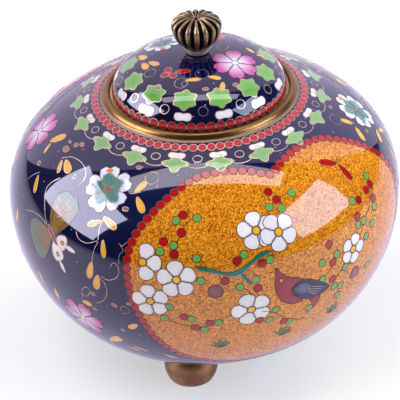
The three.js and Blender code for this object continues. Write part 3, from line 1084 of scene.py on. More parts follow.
bird(jar.seen_at(BIRD_PIXEL))
insect(jar.seen_at(INSECT_PIXEL))
for spot, across in spots_of(MAUVE_PIXELS):
    berry(spot, "mauve", across)
    berry(behind(spot), "mauve", across)
for spot, degrees in spots_of(SPRAY_PIXELS):
    spray(spot, degrees - 90)
    spray(behind(spot), 90 - degrees)
print(len(MAUVE_PIXELS), "mauve berries and", len(SPRAY_PIXELS), "sprays on each panel")

# %% [markdown]
# ## Flowers and butterflies on the navy field
# The navy field left of the panel carries a pink flower high and another low, a white flower with
# a green heart, and a butterfly, with pairs of yellow leaves and fine scrolls of bare wire between
# them. The field on the far side is its mirror image, so it is made by the same calls.

# %% Places on the field
PINK_PIXELS = [(40, 131, -35, 7.6), (83, 317, 42, 8.0)]
GREEN_HEARTED_PIXELS = [(107.5, 189, -5, 7.9)]
BUTTERFLY_PIXEL = (52.5, 235)
LEAF_PIXELS = [(50, 141, 66, 136, 0.42), (51, 143, 44, 153, 0.3), (62, 160, 58, 173, 0.28),
               (66, 160, 69, 173, 0.42), (38.5, 175, 34.5, 193, 0.3), (135, 193, 146, 182, 0.4),
               (137, 197, 143.5, 213, 0.36), (101, 221, 88, 225, 0.36), (104, 217, 116, 229, 0.36),
               (103, 240, 104, 258, 0.3), (92, 262, 89, 278, 0.36), (98, 275, 96, 289, 0.42),
               (82, 301, 92, 305, 0.45), (137.5, 324.5, 129, 328, 0.45), (110, 340, 121, 338, 0.36),
               (111, 341, 119, 346, 0.3), (127, 345, 141, 351, 0.26), (134, 346, 148, 351, 0.26),
               (163, 354, 178, 358, 0.26), (55, 288, 59, 299, 0.36), (39, 270, 44.5, 284, 0.3),
               (18.5, 153, 15.5, 163, 0.36), (18.5, 208, 17, 223, 0.3), (42, 113, 51, 106, 0.3)]
SCROLL_LINES = [
    [(62, 158), (72, 157), (81, 162), (86, 171), (84, 180), (79, 185)],
    [(47, 224), (45, 213), (45, 200), (46, 190), (51, 183), (60, 178)],
    [(47, 225), (41, 217), (34, 212), (27, 210)], [(40, 172), (33, 175), (28, 179)],
    [(76, 232), (79, 239), (87, 243), (97, 241)], [(98, 242), (94, 250), (92, 262)],
    [(127, 242), (122, 246), (119, 243), (123, 250), (119, 256), (119, 264)],
    [(110, 267), (113, 263), (117, 265), (119, 272), (116, 278), (108, 280), (101, 276)],
    [(99, 277), (105, 284), (107, 292), (104, 300), (97, 303)], [(104, 218), (100, 227), (98, 240)],
    [(131, 194), (136, 193), (141, 192)], [(83, 297), (82, 290), (86, 287), (90, 291), (87, 296), (83, 294)]]
RING_PIXELS = [(152, 178, 2.0), (74.5, 176.5, 0.65), (125, 310, 1.4)]
COPPER_PIXELS = [(66, 149, 2.0), (76, 145, 1.3), (82, 144.5, 1.3), (39, 163, 1.4), (139, 167.5, 1.2),
                 (125.5, 209, 1.3), (93, 294, 1.1), (114, 305, 1.3), (129, 304, 1.1), (95, 309, 1.0),
                 (70, 142, 0.8), (123, 330, 0.9)]


def mirrored(spot):
    """The spot's image on the field at the other side of the front panel."""
    return 2 * FRONT - spot[0], spot[1]


def both(spot):
    """The spot with its side, 1, and its mirror image with -1."""
    return (spot, 1), (mirrored(spot), -1)


print(len(LEAF_PIXELS), "leaves and", len(SCROLL_LINES), "scrolls at the front of each field")

# %% [markdown]
# ## The flowers of the field
# A petal's colour runs from the flower's heart to the petal's tip, so the grade of each cell is its
# distance from the heart and not from the petal's own middle. On the white flower a tongue of green
# runs out along each petal, because there the grade grows faster beside the petal's axis.

# %% Pink and white flowers
TONGUE, VEIN_SPREAD = 0.9, 14
SPOT_WIRE_HALF, CENTRE_WIRE_HALF = 0.05, 0.1


def reach_grade(reach, degrees=0.0, tongue=0.0):
    """Distance from the spot as a share of the reach; a tongue lets it grow faster beside a petal's axis."""
    def grade(xy):
        beside = np.abs(turn(xy, -degrees)[..., 0])
        return (np.linalg.norm(xy, axis=-1) + tongue * beside) / reach
    return grade


def pink_flower(surface, spot, degrees, reach):
    """Six waved petals that pale to white at a small ringed heart."""
    shape = petal(0.1 * reach, reach, 0.6 * reach, count=34, full=0.42, notch=0.08 * reach,
                  ripple=0.04 * reach)
    for k in range(6):
        outline = turn(shape, degrees + 60 * k)
        inlay(surface, "pink", spot, outline, "dark_wire", reach_grade(reach), FIRM_HALF)
    heart = oval(0.28 * reach, 0.28 * reach)
    inlay(surface, "white", spot, heart, "dark_wire", half=SLIM_HALF, layer=1)


def green_hearted_flower(surface, spot, degrees, reach):
    """Five notched white petals, green towards the middle, one of them with an orange spot."""
    shape = petal(0.08 * reach, reach, 0.74 * reach, count=34, full=0.4, notch=0.13 * reach,
                  ripple=0.035 * reach)
    vein = np.stack([np.zeros(8), np.linspace(0.2, 0.62, 8) * reach], -1)
    for k in range(5):
        lean = degrees + 72 * k
        grade = reach_grade(reach, lean, TONGUE)
        inlay(surface, "white_green", spot, turn(shape, lean), "dark_wire", grade, SLIM_HALF)
        for side in (-VEIN_SPREAD, VEIN_SPREAD):
            lay_wire(surface, "dark_wire", spot, turn(vein, lean + side), HAIR_HALF, closed=False)
    spot_on_petal = turn(oval(0.3 * reach, 0.18 * reach) + [0, 0.74 * reach], degrees)
    inlay(surface, "orange", spot, spot_on_petal, "thin_wire", half=SPOT_WIRE_HALF, layer=1)
    heart = oval(0.26 * reach, 0.2 * reach)
    inlay(surface, "copper", spot, heart, "dark_wire", half=CENTRE_WIRE_HALF, layer=1)


for make, pixels in ((pink_flower, PINK_PIXELS), (green_hearted_flower, GREEN_HEARTED_PIXELS)):
    for spot, degrees, reach in spots_of(pixels):
        for place, side in both(spot):
            make(jar, place, side * jar.seen_turn(spot, degrees), reach)
    print(2 * len(pixels), "of", make.__name__)

# %% [markdown]
# ## The butterfly
# Two broad wings and two white hind wings with tails spread about a red body. The broad wings carry
# a net of fine bronze wire: ribs that fan out from the body, and waved arcs across them.

# %% The butterfly


def wing_net(surface, spot, degrees, length, side):
    """Five ribs that fan out along a wing, and three arcs of waved radius across them."""
    for fan in (-20, -10, 0, 10, 20):
        rib = np.stack([np.zeros(10), np.linspace(2.0, (0.94 - 0.008 * abs(fan)) * length, 10)], -1)
        lay_wire(surface, "net_wire", spot, turn(rib, side * (degrees + fan)), FINE_HALF, closed=False)
    t = np.radians(np.linspace(-22, 22, 14))
    for share in (0.42, 0.58, 0.74):
        arc = share * length * np.stack([np.sin(t), np.cos(t) + 0.03 * np.cos(18 * t)], -1)
        lay_wire(surface, "net_wire", spot, turn(arc, side * degrees), FINE_HALF, closed=False)


def butterfly(surface, spot, body, wings, tails, side=1):
    """Two broad wings, two white hind wings with tails about a red body; each has its own turn."""
    for degrees, length, width in wings:
        shape = petal(0.6, length, width, count=36, full=0.42, notch=0.5, ripple=0.3)
        outline = turn(shape, side * degrees)
        inlay(surface, "wing", spot, outline, "dark_wire", reach_grade(length), FIRM_HALF)
        wing_net(surface, spot, degrees, length, side)
    for degrees, length in tails:
        hind_wing = turn(petal(2.0, length, 4.4, count=26, notch=0.4), side * degrees)
        inlay(surface, "white", spot, hind_wing, "thin_wire", half=FINE_HALF)
        tail = turn(leaf(4.2, 1.3) + [0.3, length - 0.7], side * degrees)
        inlay(surface, "white", spot, tail, "thin_wire", half=HAIR_HALF)
        eye = turn(oval(1.3, 1.5, 12) + [0, 0.7 * length], side * degrees)
        inlay(surface, "orange", spot, eye, "dark_wire", half=SLIM_HALF, layer=1)
    trunk = turn(oval(1.5, 7.0, 20), side * body)
    inlay(surface, "bird_red", spot, trunk, "thin_wire", half=FINE_HALF, layer=1)


spot = jar.seen_at(BUTTERFLY_PIXEL)
body = jar.seen_turn(spot, 25)
wings = [(jar.seen_turn(spot, 104), 12.4, 11.4), (jar.seen_turn(spot, -18), 14.2, 9.6)]
tails = [(jar.seen_turn(spot, -128), 6.6), (jar.seen_turn(spot, 192), 8.2)]
for place, side in both(spot):
    butterfly(jar, place, body, wings, tails, side)
print("butterfly at", round(math.degrees(spot[0])), "degrees,", round(spot[1]), "mm up the flank")

# %% [markdown]
# ## Leaves, scrolls and specks
# Yellow drops, scrolls and rings of bare wire and small copper specks fill the field between the
# flowers. A drop is given by the pixels of its two ends, so its turn and its length come from the
# picture; a scroll is a smooth line through a few pixels.

# %% Leaves, scrolls and specks


def drop_leaf(surface, spot, xy, share, side=1):
    """A yellow drop from a spot to a flat point; share is its width by its length."""
    length = math.hypot(*xy)
    degrees = math.degrees(math.atan2(-xy[0], xy[1]))
    outline = turn(petal(0, length, share * length, count=20, full=0.3), side * degrees)
    inlay(surface, "yellow", spot, outline, "thin_wire", half=FINE_HALF)


def bare_ring(surface, spot, radius):
    """A circle of bare wire."""
    lay_wire(surface, "thin_wire", spot, oval(2 * radius, 2 * radius), HAIR_HALF)


def speck(surface, spot, size):
    """A small copper oval, half as wide again as it is high."""
    inlay(surface, "copper", spot, oval(1.5 * size, size, 12), "thin_wire", half=HAIR_HALF)


for *ends, share in LEAF_PIXELS:
    spot = jar.seen_at(ends[:2])
    tip = jar.seen_path(spot, [ends[2:]])[0]
    for place, side in both(spot):
        drop_leaf(jar, place, tip, share, side)
for pixels in SCROLL_LINES:
    spot = jar.seen_at(pixels[0])
    for place, side in both(spot):
        lay_wire(jar, "thin_wire", place, flat_path(spot, pixels) * [side, 1], SLIM_HALF, closed=False)
for make, pixels in ((bare_ring, RING_PIXELS), (speck, COPPER_PIXELS)):
    for spot, size in spots_of(pixels):
        for place, side in both(spot):
            make(jar, place, size)
print(len(COPPER_PIXELS), "copper specks on each field")

# %% [markdown]
# ## The part of the fields that the picture hides
# Past the edge of the picture each navy field runs on to the panel behind. It gets a few more of the
# same flowers, leaves and scrolls, set wider apart. Their places are plain azimuths and lengths.

# %% Hidden parts of the fields
HIDDEN_WHITE = (-84, 45, 20, 6.6)
HIDDEN_PINK = (-95, 64, 10, 6.2)
HIDDEN_PAIRS = [(-82, 60, 140), (-101, 49, -120), (-66, 30, 60), (-86, 33, 190), (-98, 82, 30),
                (-48, 21, -80), (-100, 34, 80)]
HIDDEN_SCROLLS = [(-76, 53, 3.2, 0), (-97, 54, 2.6, 200), (-73, 36, 2.8, 120), (-93, 40, 2.4, 60),
                  (-89, 75, 3.0, 270)]
HIDDEN_LEAF, HIDDEN_SHARE, HIDDEN_SPREAD = np.array([0.0, 4.8]), 0.38, 32
HIDDEN_TURNS = 1.4


def placed(degrees, s):
    """A spot by its azimuth in degrees and its length up the flank."""
    return math.radians(degrees), s


for make, (azimuth, s, degrees, reach) in ((green_hearted_flower, HIDDEN_WHITE), (pink_flower, HIDDEN_PINK)):
    for place, side in both(placed(azimuth, s)):
        make(jar, place, side * degrees, reach)
for azimuth, s, degrees in HIDDEN_PAIRS:
    for place, side in both(placed(azimuth, s)):
        for spread in (-HIDDEN_SPREAD, HIDDEN_SPREAD):
            drop_leaf(jar, place, turn(HIDDEN_LEAF, degrees + spread), HIDDEN_SHARE, side)
for azimuth, s, radius, start in HIDDEN_SCROLLS:
    scroll = spiral(radius, HIDDEN_TURNS, math.radians(start))
    for place, side in both(placed(azimuth, s)):
        lay_wire(jar, "thin_wire", place, scroll * [side, 1], SLIM_HALF, closed=False)
print(len(LEAF_PIXELS) + 2 * len(HIDDEN_PAIRS), "leaves on each field")

# %% [markdown]
# ## The dome of the lid
# Round the knob the dome has a large pink flower, a white one with a green heart, small red flowers,
# yellow leaves and scrolls. On the crown the flat sheet is laid about the pole, so nothing pinches.

# %% Lid ornaments
LID_PINK_PIXEL, LID_PINK_TURN, LID_PINK_REACH = (235, 63), 8, 7.4
LID_WHITE_PIXEL, LID_WHITE_TURN, LID_WHITE_REACH = (162, 43), 190, 6.4
LID_RED_PIXEL = (170, 73)
LID_BACK_RED, LID_BACK_TURN = (math.radians(150), 18.6), 40
LID_BACK_LEAVES, LID_BACK_LEAF_S = (160, 196), 17.5
LID_BACK_LEAF, LID_BACK_SHARE = (2.4, 3.6), 0.4
LID_LEAF_PIXELS = [
    (139, 56, 146, 59, 0.5), (143, 63, 147, 69, 0.5), (149, 62, 159, 65, 0.42), (185, 80.5, 201, 79, 0.3),
    (208, 76.5, 221, 78.5, 0.4), (223, 82, 222, 90, 0.5), (246, 48, 254, 53, 0.4), (256, 55, 266, 57, 0.36)]
LID_RING_PIXELS = [(181, 83, 2.0), (184.5, 84, 0.9), (202, 74, 2.0), (150, 73, 1.8), (222, 47, 1.8)]
LID_COPPER_PIXELS = [(235.5, 84.5, 1.3), (205.5, 89, 1.2), (241, 40.5, 1.6), (158, 88, 1.2)]


def red_flower(surface, spot, degrees):
    """Three round petals and a long one about a point."""
    round_petal = petal(0.2, 2.9, 2.2, count=18, full=0.1)
    long_petal = petal(1.6, 6.2, 1.9, count=18, full=0.1)
    outlines = [turn(round_petal, degrees + angle) for angle in (20, 110, 215)]
    for outline in (*outlines, turn(long_petal, degrees - 88)):
        inlay(surface, "red", spot, outline, "thin_wire", half=FINE_HALF)


spot = lid.seen_at(LID_PINK_PIXEL)
pink_flower(lid, spot, lid.seen_turn(spot, LID_PINK_TURN), LID_PINK_REACH)
spot = lid.seen_at(LID_RED_PIXEL)
red_flower(lid, spot, lid.seen_turn(spot, 0))
red_flower(lid, LID_BACK_RED, LID_BACK_TURN)
spot = lid.seen_at(LID_WHITE_PIXEL)
green_hearted_flower(lid, spot, lid.seen_turn(spot, LID_WHITE_TURN), LID_WHITE_REACH)
for *ends, share in LID_LEAF_PIXELS:
    spot = lid.seen_at(ends[:2])
    tip = lid.seen_path(spot, [ends[2:]])[0]
    drop_leaf(lid, spot, tip, share)
for degrees in LID_BACK_LEAVES:
    drop_leaf(lid, placed(degrees, LID_BACK_LEAF_S), LID_BACK_LEAF, LID_BACK_SHARE)
for make, pixels in ((bare_ring, LID_RING_PIXELS), (speck, LID_COPPER_PIXELS)):
    for *pixel, size in pixels:
        make(lid, lid.seen_at(pixel), size)
print(len(LID_LEAF_PIXELS) + len(LID_BACK_LEAVES), "leaves on the lid")

# %% [markdown]
# ## From trays to pieces
# Now every tray is full, and each becomes one piece, named for its place and its finish. The pieces
# ride on the jar like the rest; they replace no node, because they only lie in its wall.

# %% Make the trays into pieces
inlays = {}
for (place, finish), collected in trays.items():
    slot = "navy_enamel" if place == "jar" else "lid_enamel"
    inlays[place, finish] = collected.piece(f"{place}_{finish}_inlay", slot)
print(len(inlays), "inlaid pieces")

# %% [markdown]
# ## Writing shaders as sums
# A material is a formula from places and attributes to colour and roughness. One small class wraps
# a socket, so plain arithmetic adds Math nodes; any other node comes from its one method.

# %% A socket that can be added and multiplied


class Flow:
    """A socket of a node tree. Arithmetic adds Math nodes; mix blends two colours by it."""

    def __init__(self, tree, socket=None):
        self.tree, self.socket = tree, socket

    def node(self, kind, settings=None, inputs=None, output=0):
        """Adds a node by its type, sets it up, then gives its sockets values or links."""
        made = self.tree.nodes.new("ShaderNode" + kind)
        for key, value in (settings or {}).items():
            if key == "stops":
                ramp = made.color_ramp.elements
                while len(ramp) < len(value):
                    ramp.new(0.5)
                for stop, (place, colour) in zip(ramp, value):
                    stop.position, stop.color = place, (*colour, 1)
            else:
                setattr(made, key, value)
        for key, value in (inputs or {}).items():
            if isinstance(value, Flow):
                self.tree.links.new(value.socket, made.inputs[key])
            else:
                made.inputs[key].default_value = value
        return Flow(self.tree, made.outputs[output] if len(made.outputs) else None)

    def math(self, operation, *values, clamp=False):
        """A Math node of this and the values."""
        settings = {"operation": operation, "use_clamp": clamp}
        return self.node("Math", settings, dict(enumerate((self, *values))))

    def clamped(self):
        """Cut off below 0 and above 1."""
        return self.math("ADD", 0.0, clamp=True)

    def __add__(self, other):
        return self.math("ADD", other)

    def __mul__(self, other):
        return self.math("MULTIPLY", other)

    def __sub__(self, other):
        return self.math("SUBTRACT", other)

    def __rsub__(self, other):
        return self.math("MULTIPLY_ADD", -1.0, other)

    def __truediv__(self, other):
        return self.math("DIVIDE", other)

    __radd__, __rmul__ = __add__, __mul__

    def over(self, low, high):
        """0 below low, 1 above high, and straight between."""
        return ((self - low) / (high - low)).clamped()

    def mix(self, first, second):
        """The first colour where this is 0 and the second where it is 1."""
        def paint(c):
            return c if isinstance(c, Flow) else (*c, 1)
        return self.node("Mix", {"data_type": "RGBA"}, {0: self, 6: paint(first), 7: paint(second)}, 2)


reflected = [name.strip("_") for name in vars(Flow) if name.startswith("__r")]
print("a Flow may also stand on the right:", reflected)

# %% [markdown]
# ## Helpers for every material
# A material starts empty and ends in one main shader. In between, its patterns read the piece's own
# Object coordinates or an attribute of its points, so they stay in place when the jar is turned.

# %% Material helpers


def new_material(name):
    """An empty material and a Flow to build it with."""
    material = bpy.data.materials.new(name)
    material.use_nodes = True
    material.node_tree.nodes.clear()
    return material, Flow(material.node_tree)


def finish_material(material, flow, inputs):
    """Joins the values to the main shader and the shader to the output."""
    shader = flow.node("BsdfPrincipled", None, inputs)
    flow.node("OutputMaterial", None, {"Surface": shader})
    return material


def place_of(flow):
    """The piece's own coordinates."""
    return flow.node("TexCoord", output="Object")


def noise(flow, scale, detail=2.0):
    """Soft clouds between 0 and 1."""
    return flow.node("TexNoise", None, {"Vector": place_of(flow), "Scale": scale, "Detail": detail})


def grains(flow, scale, output="Color"):
    """Random cells: a colour of each cell, or the distance to its middle."""
    return flow.node("TexVoronoi", None, {"Vector": place_of(flow), "Scale": scale}, output)


def attribute(flow, name):
    """A number that was kept on the piece's points."""
    return flow.node("Attribute", {"attribute_name": name}, output="Fac")


def bump(flow, height, distance):
    """The normal of a surface raised by a height times a distance in metres."""
    return flow.node("Bump", None, {"Height": height, "Distance": distance, "Strength": 1.0})


print("materials so far:", len(bpy.data.materials))

# %% [markdown]
# ## Enamel
# Fired enamel is glass over metal: deep colour under a polished skin, so every enamel gets a clear
# coat, faint scuffs and the slight waviness of hand polishing. All of it is alike on every colour, and
# is written once.

# %% The skin of the enamel
ENAMEL_SKIN = {"IOR": 1.5, "Specular IOR Level": 0.05, "Coat Weight": 1.0, "Coat Roughness": 0.02,
               "Coat IOR": 1.6}


def glassy_roughness(flow):
    """Polish with faint scuffs."""
    return noise(flow, 60.0, 4.0).over(0.3, 0.8) * 0.08 + 0.1


def polish_bump(flow):
    """The slight waviness that hand polishing leaves."""
    return bump(flow, noise(flow, 55.0, 1.0), 0.00012)


def finish_enamel(material, flow, colour):
    """Joins a colour to the enamel's skin."""
    return finish_material(material, flow, {
        "Base Color": colour, "Roughness": glassy_roughness(flow), "Normal": polish_bump(flow),
        **ENAMEL_SKIN})


print("coat of IOR", ENAMEL_SKIN["Coat IOR"])

# %% [markdown]
# ## Navy ground and goldstone
# The ground is an uneven navy with pale and reddish specks. Goldstone is a clear brown glass full of copper
# flakes, so each grain of a fine cell pattern gets its own brown, orange or gold; the brightest gold grains
# are painted glints of the flakes. The distance to the panels, kept on the jar's points, chooses between the
# two.

# %% Ground and goldstone
NAVY_DEEP, NAVY_PALE = (0.0020, 0.0016, 0.025), (0.0024, 0.0070, 0.046)
PALE_SPECK, RED_SPECK, DARK_SPECK = (0.50, 0.42, 0.48), (0.35, 0.15, 0.12), (0.12, 0.08, 0.06)
# The brightest stops are painted glints: the copper flakes' sparkle put into the colour.
FLAKES_AND_GLINTS = [(0.0, (0.03, 0.008, 0.002)), (0.28, (0.26, 0.060, 0.003)), (0.46, (0.66, 0.195, 0.005)),
          (0.75, (0.83, 0.315, 0.010)), (1.0, (1.0, 0.66, 0.06))]
GLASS_DEEP, GLASS_PALE, GLASS_SHARE = (0.56, 0.16, 0.003), (0.80, 0.285, 0.009), 0.2
INNER_DEEP, INNER_PALE = (0.03, 0.16, 0.30), (0.05, 0.22, 0.36)


def specks(flow, scale, share, size):
    """Small round specks in a share of the grains."""
    kept = grains(flow, scale).math("GREATER_THAN", 1 - share)
    near = 1 - grains(flow, scale, "Distance").over(0.6 * size, size)
    return kept * near


def navy_ground(flow):
    """Two navies in soft clouds, under two sizes of specks."""
    ground = noise(flow, 28.0, 3.0).over(0.42, 0.75).mix(NAVY_DEEP, NAVY_PALE)
    ground = specks(flow, 420.0, 0.6, 0.1).mix(ground, PALE_SPECK)
    return specks(flow, 230.0, 0.3, 0.08).mix(ground, RED_SPECK)


def goldstone(flow):
    """A flake's colour for each grain, the brightest a painted glint, with a share of cloudy glass over it.
    """
    grain = grains(flow, 3000.0)
    flake_glint_colour = grain.node("ValToRGB", {"stops": FLAKES_AND_GLINTS}, {"Fac": grain})
    glass = noise(flow, 130.0, 3.0).over(0.3, 0.75).mix(GLASS_DEEP, GLASS_PALE)
    return flow.node("Mix", {"data_type": "RGBA"}, {0: GLASS_SHARE, 6: flake_glint_colour, 7: glass}, 2)


def ground_enamel(name, with_panel):
    """Navy outside, plain blue inside, and goldstone where the distance to a panel is negative."""
    material, flow = new_material(name)
    colour = navy_ground(flow)
    if with_panel:
        panel = 1 - attribute(flow, "to_panel").over(-0.05, 0.05)
        colour = panel.mix(colour, goldstone(flow))
    inner = noise(flow, 90.0).over(0.3, 0.7).mix(INNER_DEEP, INNER_PALE)
    colour = attribute(flow, "inside").over(0.4, 0.6).mix(colour, inner)
    return finish_enamel(material, flow, colour)


jar_body.data.materials.append(ground_enamel("jar_ground", True))
enamel_lid.data.materials.append(ground_enamel("lid_ground", False))
print("grounds:", [material.name for material in bpy.data.materials if "ground" in material.name])

# %% [markdown]
# ## The colours of the cells
# In a cell the colour runs from its heart to its rim, mottled, with a few dark pinholes. The tone kept
# on its points dulls each cell a little differently, as enamel ground by hand does.

# %% Cell enamels
CELL_DULLING, RIM_DULLING = 0.22, 0.55


def cell_enamel(name, heart, rim, start=0.0, end=1.0, ragged=0.1):
    """A cell's colour runs from its heart to its rim along a ragged line, a little different in each."""
    material, flow = new_material(name)
    blend = (attribute(flow, "across") + (noise(flow, 300.0, 4.0) - 0.5) * ragged).over(start, end)
    mottled = (blend + (noise(flow, 420.0, 3.0) - 0.5) * 0.5).clamped()
    dull = attribute(flow, "tone") * CELL_DULLING
    colour = dull.mix(mottled.mix(heart, rim), tuple(RIM_DULLING * c for c in rim))
    colour = specks(flow, 700.0, 0.05, 0.13).mix(colour, DARK_SPECK)
    return finish_enamel(material, flow, colour)


CELL_COLOURS = {
    "white": ((0.86, 0.82, 0.76), (0.80, 0.75, 0.71)),
    "red": ((0.46, 0.004, 0.003), (0.38, 0.004, 0.004)),
    "green": ((0.10, 0.33, 0.035), (0.20, 0.42, 0.09)),
    "border_green": ((0.17, 0.38, 0.09), (0.25, 0.42, 0.15)),
    "yellow": ((0.90, 0.50, 0.03), (0.80, 0.36, 0.02)),
    "orange": ((0.80, 0.27, 0.02), (0.62, 0.18, 0.02)),
    "copper": ((0.42, 0.17, 0.12), (0.28, 0.09, 0.07)),
    "mauve": ((0.30, 0.10, 0.09), (0.20, 0.055, 0.05)),
    "bird_red": ((0.33, 0.022, 0.025), (0.27, 0.018, 0.02)),
    "bird_blue": ((0.035, 0.035, 0.10), (0.02, 0.02, 0.06)),
    "bird_pale": ((0.15, 0.16, 0.24), (0.06, 0.07, 0.12)),
    "moss": ((0.07, 0.22, 0.06), (0.05, 0.16, 0.05)),
    "branch": ((0.006, 0.17, 0.11), (0.003, 0.11, 0.075)),
}
finishes = {name: cell_enamel(f"{name}_enamel", *pair) for name, pair in CELL_COLOURS.items()}
finishes["pink"] = cell_enamel("pink_enamel", (0.78, 0.68, 0.76), (0.52, 0.065, 0.27), 0.22, 0.78)
finishes["white_green"] = cell_enamel("green_hearted_enamel", (0.004, 0.19, 0.11), (0.78, 0.76, 0.82),
                                      0.66, 0.8, 0.8)
finishes["wing"] = cell_enamel("wing_enamel", (0.24, 0.10, 0.012), (0.02, 0.17, 0.11), 0.4, 0.95)
print(len(finishes), "cell enamels")

# %% [markdown]
# ## Brass and bronze
# The wires are brass, pale where they are polished with the enamel; one finish of the same brass is painted
# dark brown, a painted shade for the dark reflections its wires show. Collar, knob, calyx and feet are cast
# brass with patina: colour and roughness drift with noise, and the knob's grooves are nearly black.

# %% Metals
WIRE_FINISHES = {
    "wire": ("field_wire_brass", (0.72, 0.56, 0.36), (0.42, 0.30, 0.18), 0.28),
    "thin_wire": ("fine_wire_brass", (0.70, 0.54, 0.34), (0.34, 0.24, 0.15), 0.3),
    "net_wire": ("net_wire_bronze", (0.34, 0.22, 0.07), (0.12, 0.08, 0.03), 0.4),
    # Painted shade: this brass is painted dark brown where its wires show dark reflections.
    "dark_wire": ("dark_wire_bronze", (0.16, 0.10, 0.06), (0.06, 0.04, 0.03), 0.4),
}


def cast_bump(flow):
    """The fine grain of cast metal."""
    return bump(flow, noise(flow, 900.0, 4.0), 0.00002)


def metal(name, bright, dark, shine, patina, metallic=1.0):
    """Metal whose patina, a formula of the flow, mixes bright into dark and dulls the shine."""
    material, flow = new_material(name)
    worn = patina(flow)
    return finish_material(material, flow, {
        "Base Color": worn.mix(bright, dark), "Metallic": metallic, "Roughness": worn * 0.25 + shine,
        "Normal": cast_bump(flow)})


def clouds(scale, low, high):
    """A patina in soft clouds."""
    return lambda flow: noise(flow, scale, 5.0).over(low, high)


def groove_patina(flow):
    """Dark in the grooves, and in clouds on the ribs."""
    groove = attribute(flow, "groove").over(0.08, 0.42)
    return (groove + noise(flow, 350.0, 4.0).over(0.45, 0.85) * 0.7).clamped()


for name, values in WIRE_FINISHES.items():
    finishes[name] = metal(*values, clouds(500.0, 0.4, 0.8))
knob_finish = metal("knob_patina", (0.37, 0.265, 0.135), (0.012, 0.008, 0.007), 0.33, groove_patina)
calyx_clouds, foot_clouds = clouds(300.0, 0.35, 0.8), clouds(160.0, 0.35, 0.75)
calyx_finish = metal("calyx_wear", (0.60, 0.48, 0.37), (0.34, 0.25, 0.17), 0.4, calyx_clouds, 0.35)
foot_finish = metal("foot_patina", (0.44, 0.24, 0.11), (0.14, 0.068, 0.034), 0.28, foot_clouds)
print(len(WIRE_FINISHES), "finishes of wire")

# %% [markdown]
# ## The collar's finish
# The collar is golden on its crest, painted paler on the ledge as painted light against the shade it sits
# in, and brown and dull at its worn foot. The distance from the axis that its points keep tells the three
# apart.

# %% The collar's finish, and finishes on pieces
LEDGE_REACH, FOOT_REACH = (26.8, 27.2), (29.25, 29.5)
# The ledge's colour is painted light: paler than the crest, to lift the ledge out of the shade it sits in.
CREST_GOLD, LEDGE_PAINTED_LIGHT = (0.27, 0.145, 0.040), (0.58, 0.38, 0.15)
CREST_DARK, FOOT_BROWN = (0.10, 0.048, 0.014), (0.27, 0.16, 0.10)


def collar_metal():
    """Gold, with the ledge's painted light and the foot mixed in by their distance from the axis, under a
    patina.
    """
    material, flow = new_material("collar_patina_and_light")
    reach = attribute(flow, "reach")
    # Painted light on the ledge: paler and less metallic, so it looks lit in its shade.
    painted_light_ledge = 1 - reach.over(*LEDGE_REACH)
    foot = reach.over(*FOOT_REACH)
    worn = noise(flow, 260.0, 5.0).over(0.45, 0.85) * 0.5
    band = worn.mix(painted_light_ledge.mix(CREST_GOLD, LEDGE_PAINTED_LIGHT), CREST_DARK)
    return finish_material(material, flow, {
        "Base Color": foot.mix(band, FOOT_BROWN), "Metallic": 1 - foot * 0.6 - painted_light_ledge * 0.5,
        "Roughness": worn * 0.2 + foot * 0.25 + 0.28, "Normal": cast_bump(flow)})


mouth_collar.data.materials.append(collar_metal())
knob.data.materials.append(knob_finish)
calyx.data.materials.append(calyx_finish)
for foot in feet:
    foot.data.materials.append(foot_finish)
for (place, finish), piece in inlays.items():
    piece.data.materials.append(finishes[finish])

# %% [markdown]
# ## Floor and light
# Polished enamel shows its surroundings like a mirror, so the lights were worked out from the veils
# and quads that lie on the jar in the picture: a large round diffuser behind it, a window at each
# side, a strip overhead, the pale table below and a dark room in front. What is mirrored and what
# lights the colours are set apart here, since ray visibility lets each be matched alone. The table is
# there twice: once as it is seen, and once, with a lavender cast, as the polish shows it. It glows
# a little, as a light table does.

# %% The table
FLOOR_HALF = 3.0
MIRRORED_LIFT = 0.0002
TABLE_GLOW, TABLE_ROUGHNESS = 0.50, 0.6
TABLE_TONE = (0.48, 0.48, 0.43)
MIRRORED_TINT = (0.80, 0.73, 0.98)


def table(name, height, tint):
    """A flat square that glows a little, at a height; the tint multiplies its colour and its glow."""
    mesh = bpy.data.meshes.new(name)
    corners = (FLOOR_HALF * np.array([(-1, -1), (1, -1), (1, 1), (-1, 1)])).tolist()
    mesh.from_pydata([(x, y, height) for x, y in corners], [], [(0, 1, 2, 3)])
    made = bpy.data.objects.new(name, mesh)
    bpy.context.scene.collection.objects.link(made)
    material, flow = new_material(name)
    tone = tuple(a * b for a, b in zip(TABLE_TONE, tint))
    mesh.materials.append(finish_material(material, flow, {
        "Base Color": (*tone, 1), "Roughness": TABLE_ROUGHNESS, "Emission Color": (*tint, 1),
        "Emission Strength": TABLE_GLOW}))
    return made


seen_table = table("white_table", 0.0, (1.0, 1.0, 1.0))
seen_table.visible_glossy = False
mirrored_table = table("mirrored_table", MIRRORED_LIFT, MIRRORED_TINT)
mirrored_table.visible_camera = mirrored_table.visible_diffuse = mirrored_table.visible_shadow = False
print("tables:", seen_table.name, mirrored_table.name)

# %% [markdown]
# ## The lights
# The diffuser and the left window are only mirrored, and light no colour. Three fills do the opposite:
# they light the colours and are never mirrored. The right window and the strip overhead do both.

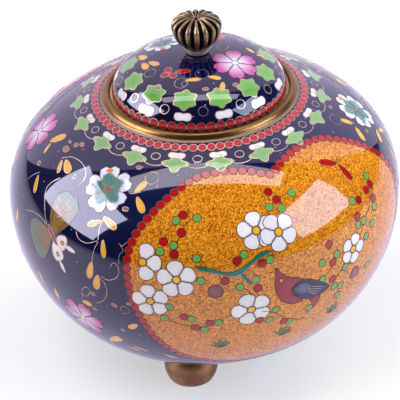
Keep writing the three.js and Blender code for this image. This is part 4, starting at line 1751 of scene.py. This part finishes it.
# %% Lights
LIGHT_AIM = np.array([0.0, 0.0, 0.05])
TENT_PLACE = (180, 32, 1.6, (4.2, 4.2))
ROOM_COLOUR = (0.06, 0.06, 0.07, 1)


def softbox(name, azimuth, elevation, distance, size, power, colour, shape="RECTANGLE"):
    """An area light at a direction from the jar, facing it; azimuth 0 is the camera's side."""
    a, e = math.radians(azimuth), math.radians(elevation)
    away = np.array([math.sin(a) * math.cos(e), -math.cos(a) * math.cos(e), math.sin(e)])
    light = bpy.data.lights.new(name, "AREA")
    light.shape, light.size, light.size_y = shape, *size
    light.energy, light.color = power, colour
    lamp = bpy.data.objects.new(name, light)
    side = np.cross([0, 0, 1], away)
    side = side / np.linalg.norm(side)
    axes = np.eye(4)
    axes[:3, 0], axes[:3, 1], axes[:3, 2] = side, np.cross(away, side), away
    axes[:3, 3] = LIGHT_AIM + distance * away
    lamp.matrix_world = Matrix(axes.tolist())
    bpy.context.scene.collection.objects.link(lamp)
    return lamp


tent = softbox("tent_back", *TENT_PLACE, 58, (0.74, 0.66, 0.94), "ELLIPSE")
window = softbox("left_window", -86, 30, 1.0, (0.8, 0.66), 16.0, (0.76, 0.74, 1.0))
softbox("right_window", 71, 29, 1.0, (0.66, 0.6), 8.6, (0.60, 0.71, 1.0))
softbox("overhead_strip", 0, 89, 1.0, (1.18, 0.19), 3.4, (0.92, 0.87, 1.0))
tent.visible_diffuse = window.visible_diffuse = False
fills = [softbox("back_fill", *TENT_PLACE, 30, (0.78, 0.72, 0.92), "ELLIPSE"),
         softbox("left_fill", -80, 58, 1.0, (0.8, 0.8), 9, (0.86, 0.84, 1.0)),
         softbox("right_fill", 120, 38, 1.2, (0.8, 0.8), 7.5, (1.0, 0.94, 0.86))]
for fill in fills:
    fill.visible_glossy = False
world = bpy.data.worlds.new("room")
world.use_nodes = True
room = world.node_tree.nodes["Background"].inputs
room["Color"].default_value = ROOM_COLOUR
room["Strength"].default_value = 1.0
bpy.context.scene.world = world
print(len(bpy.data.lights), "lights")

# %% [markdown]
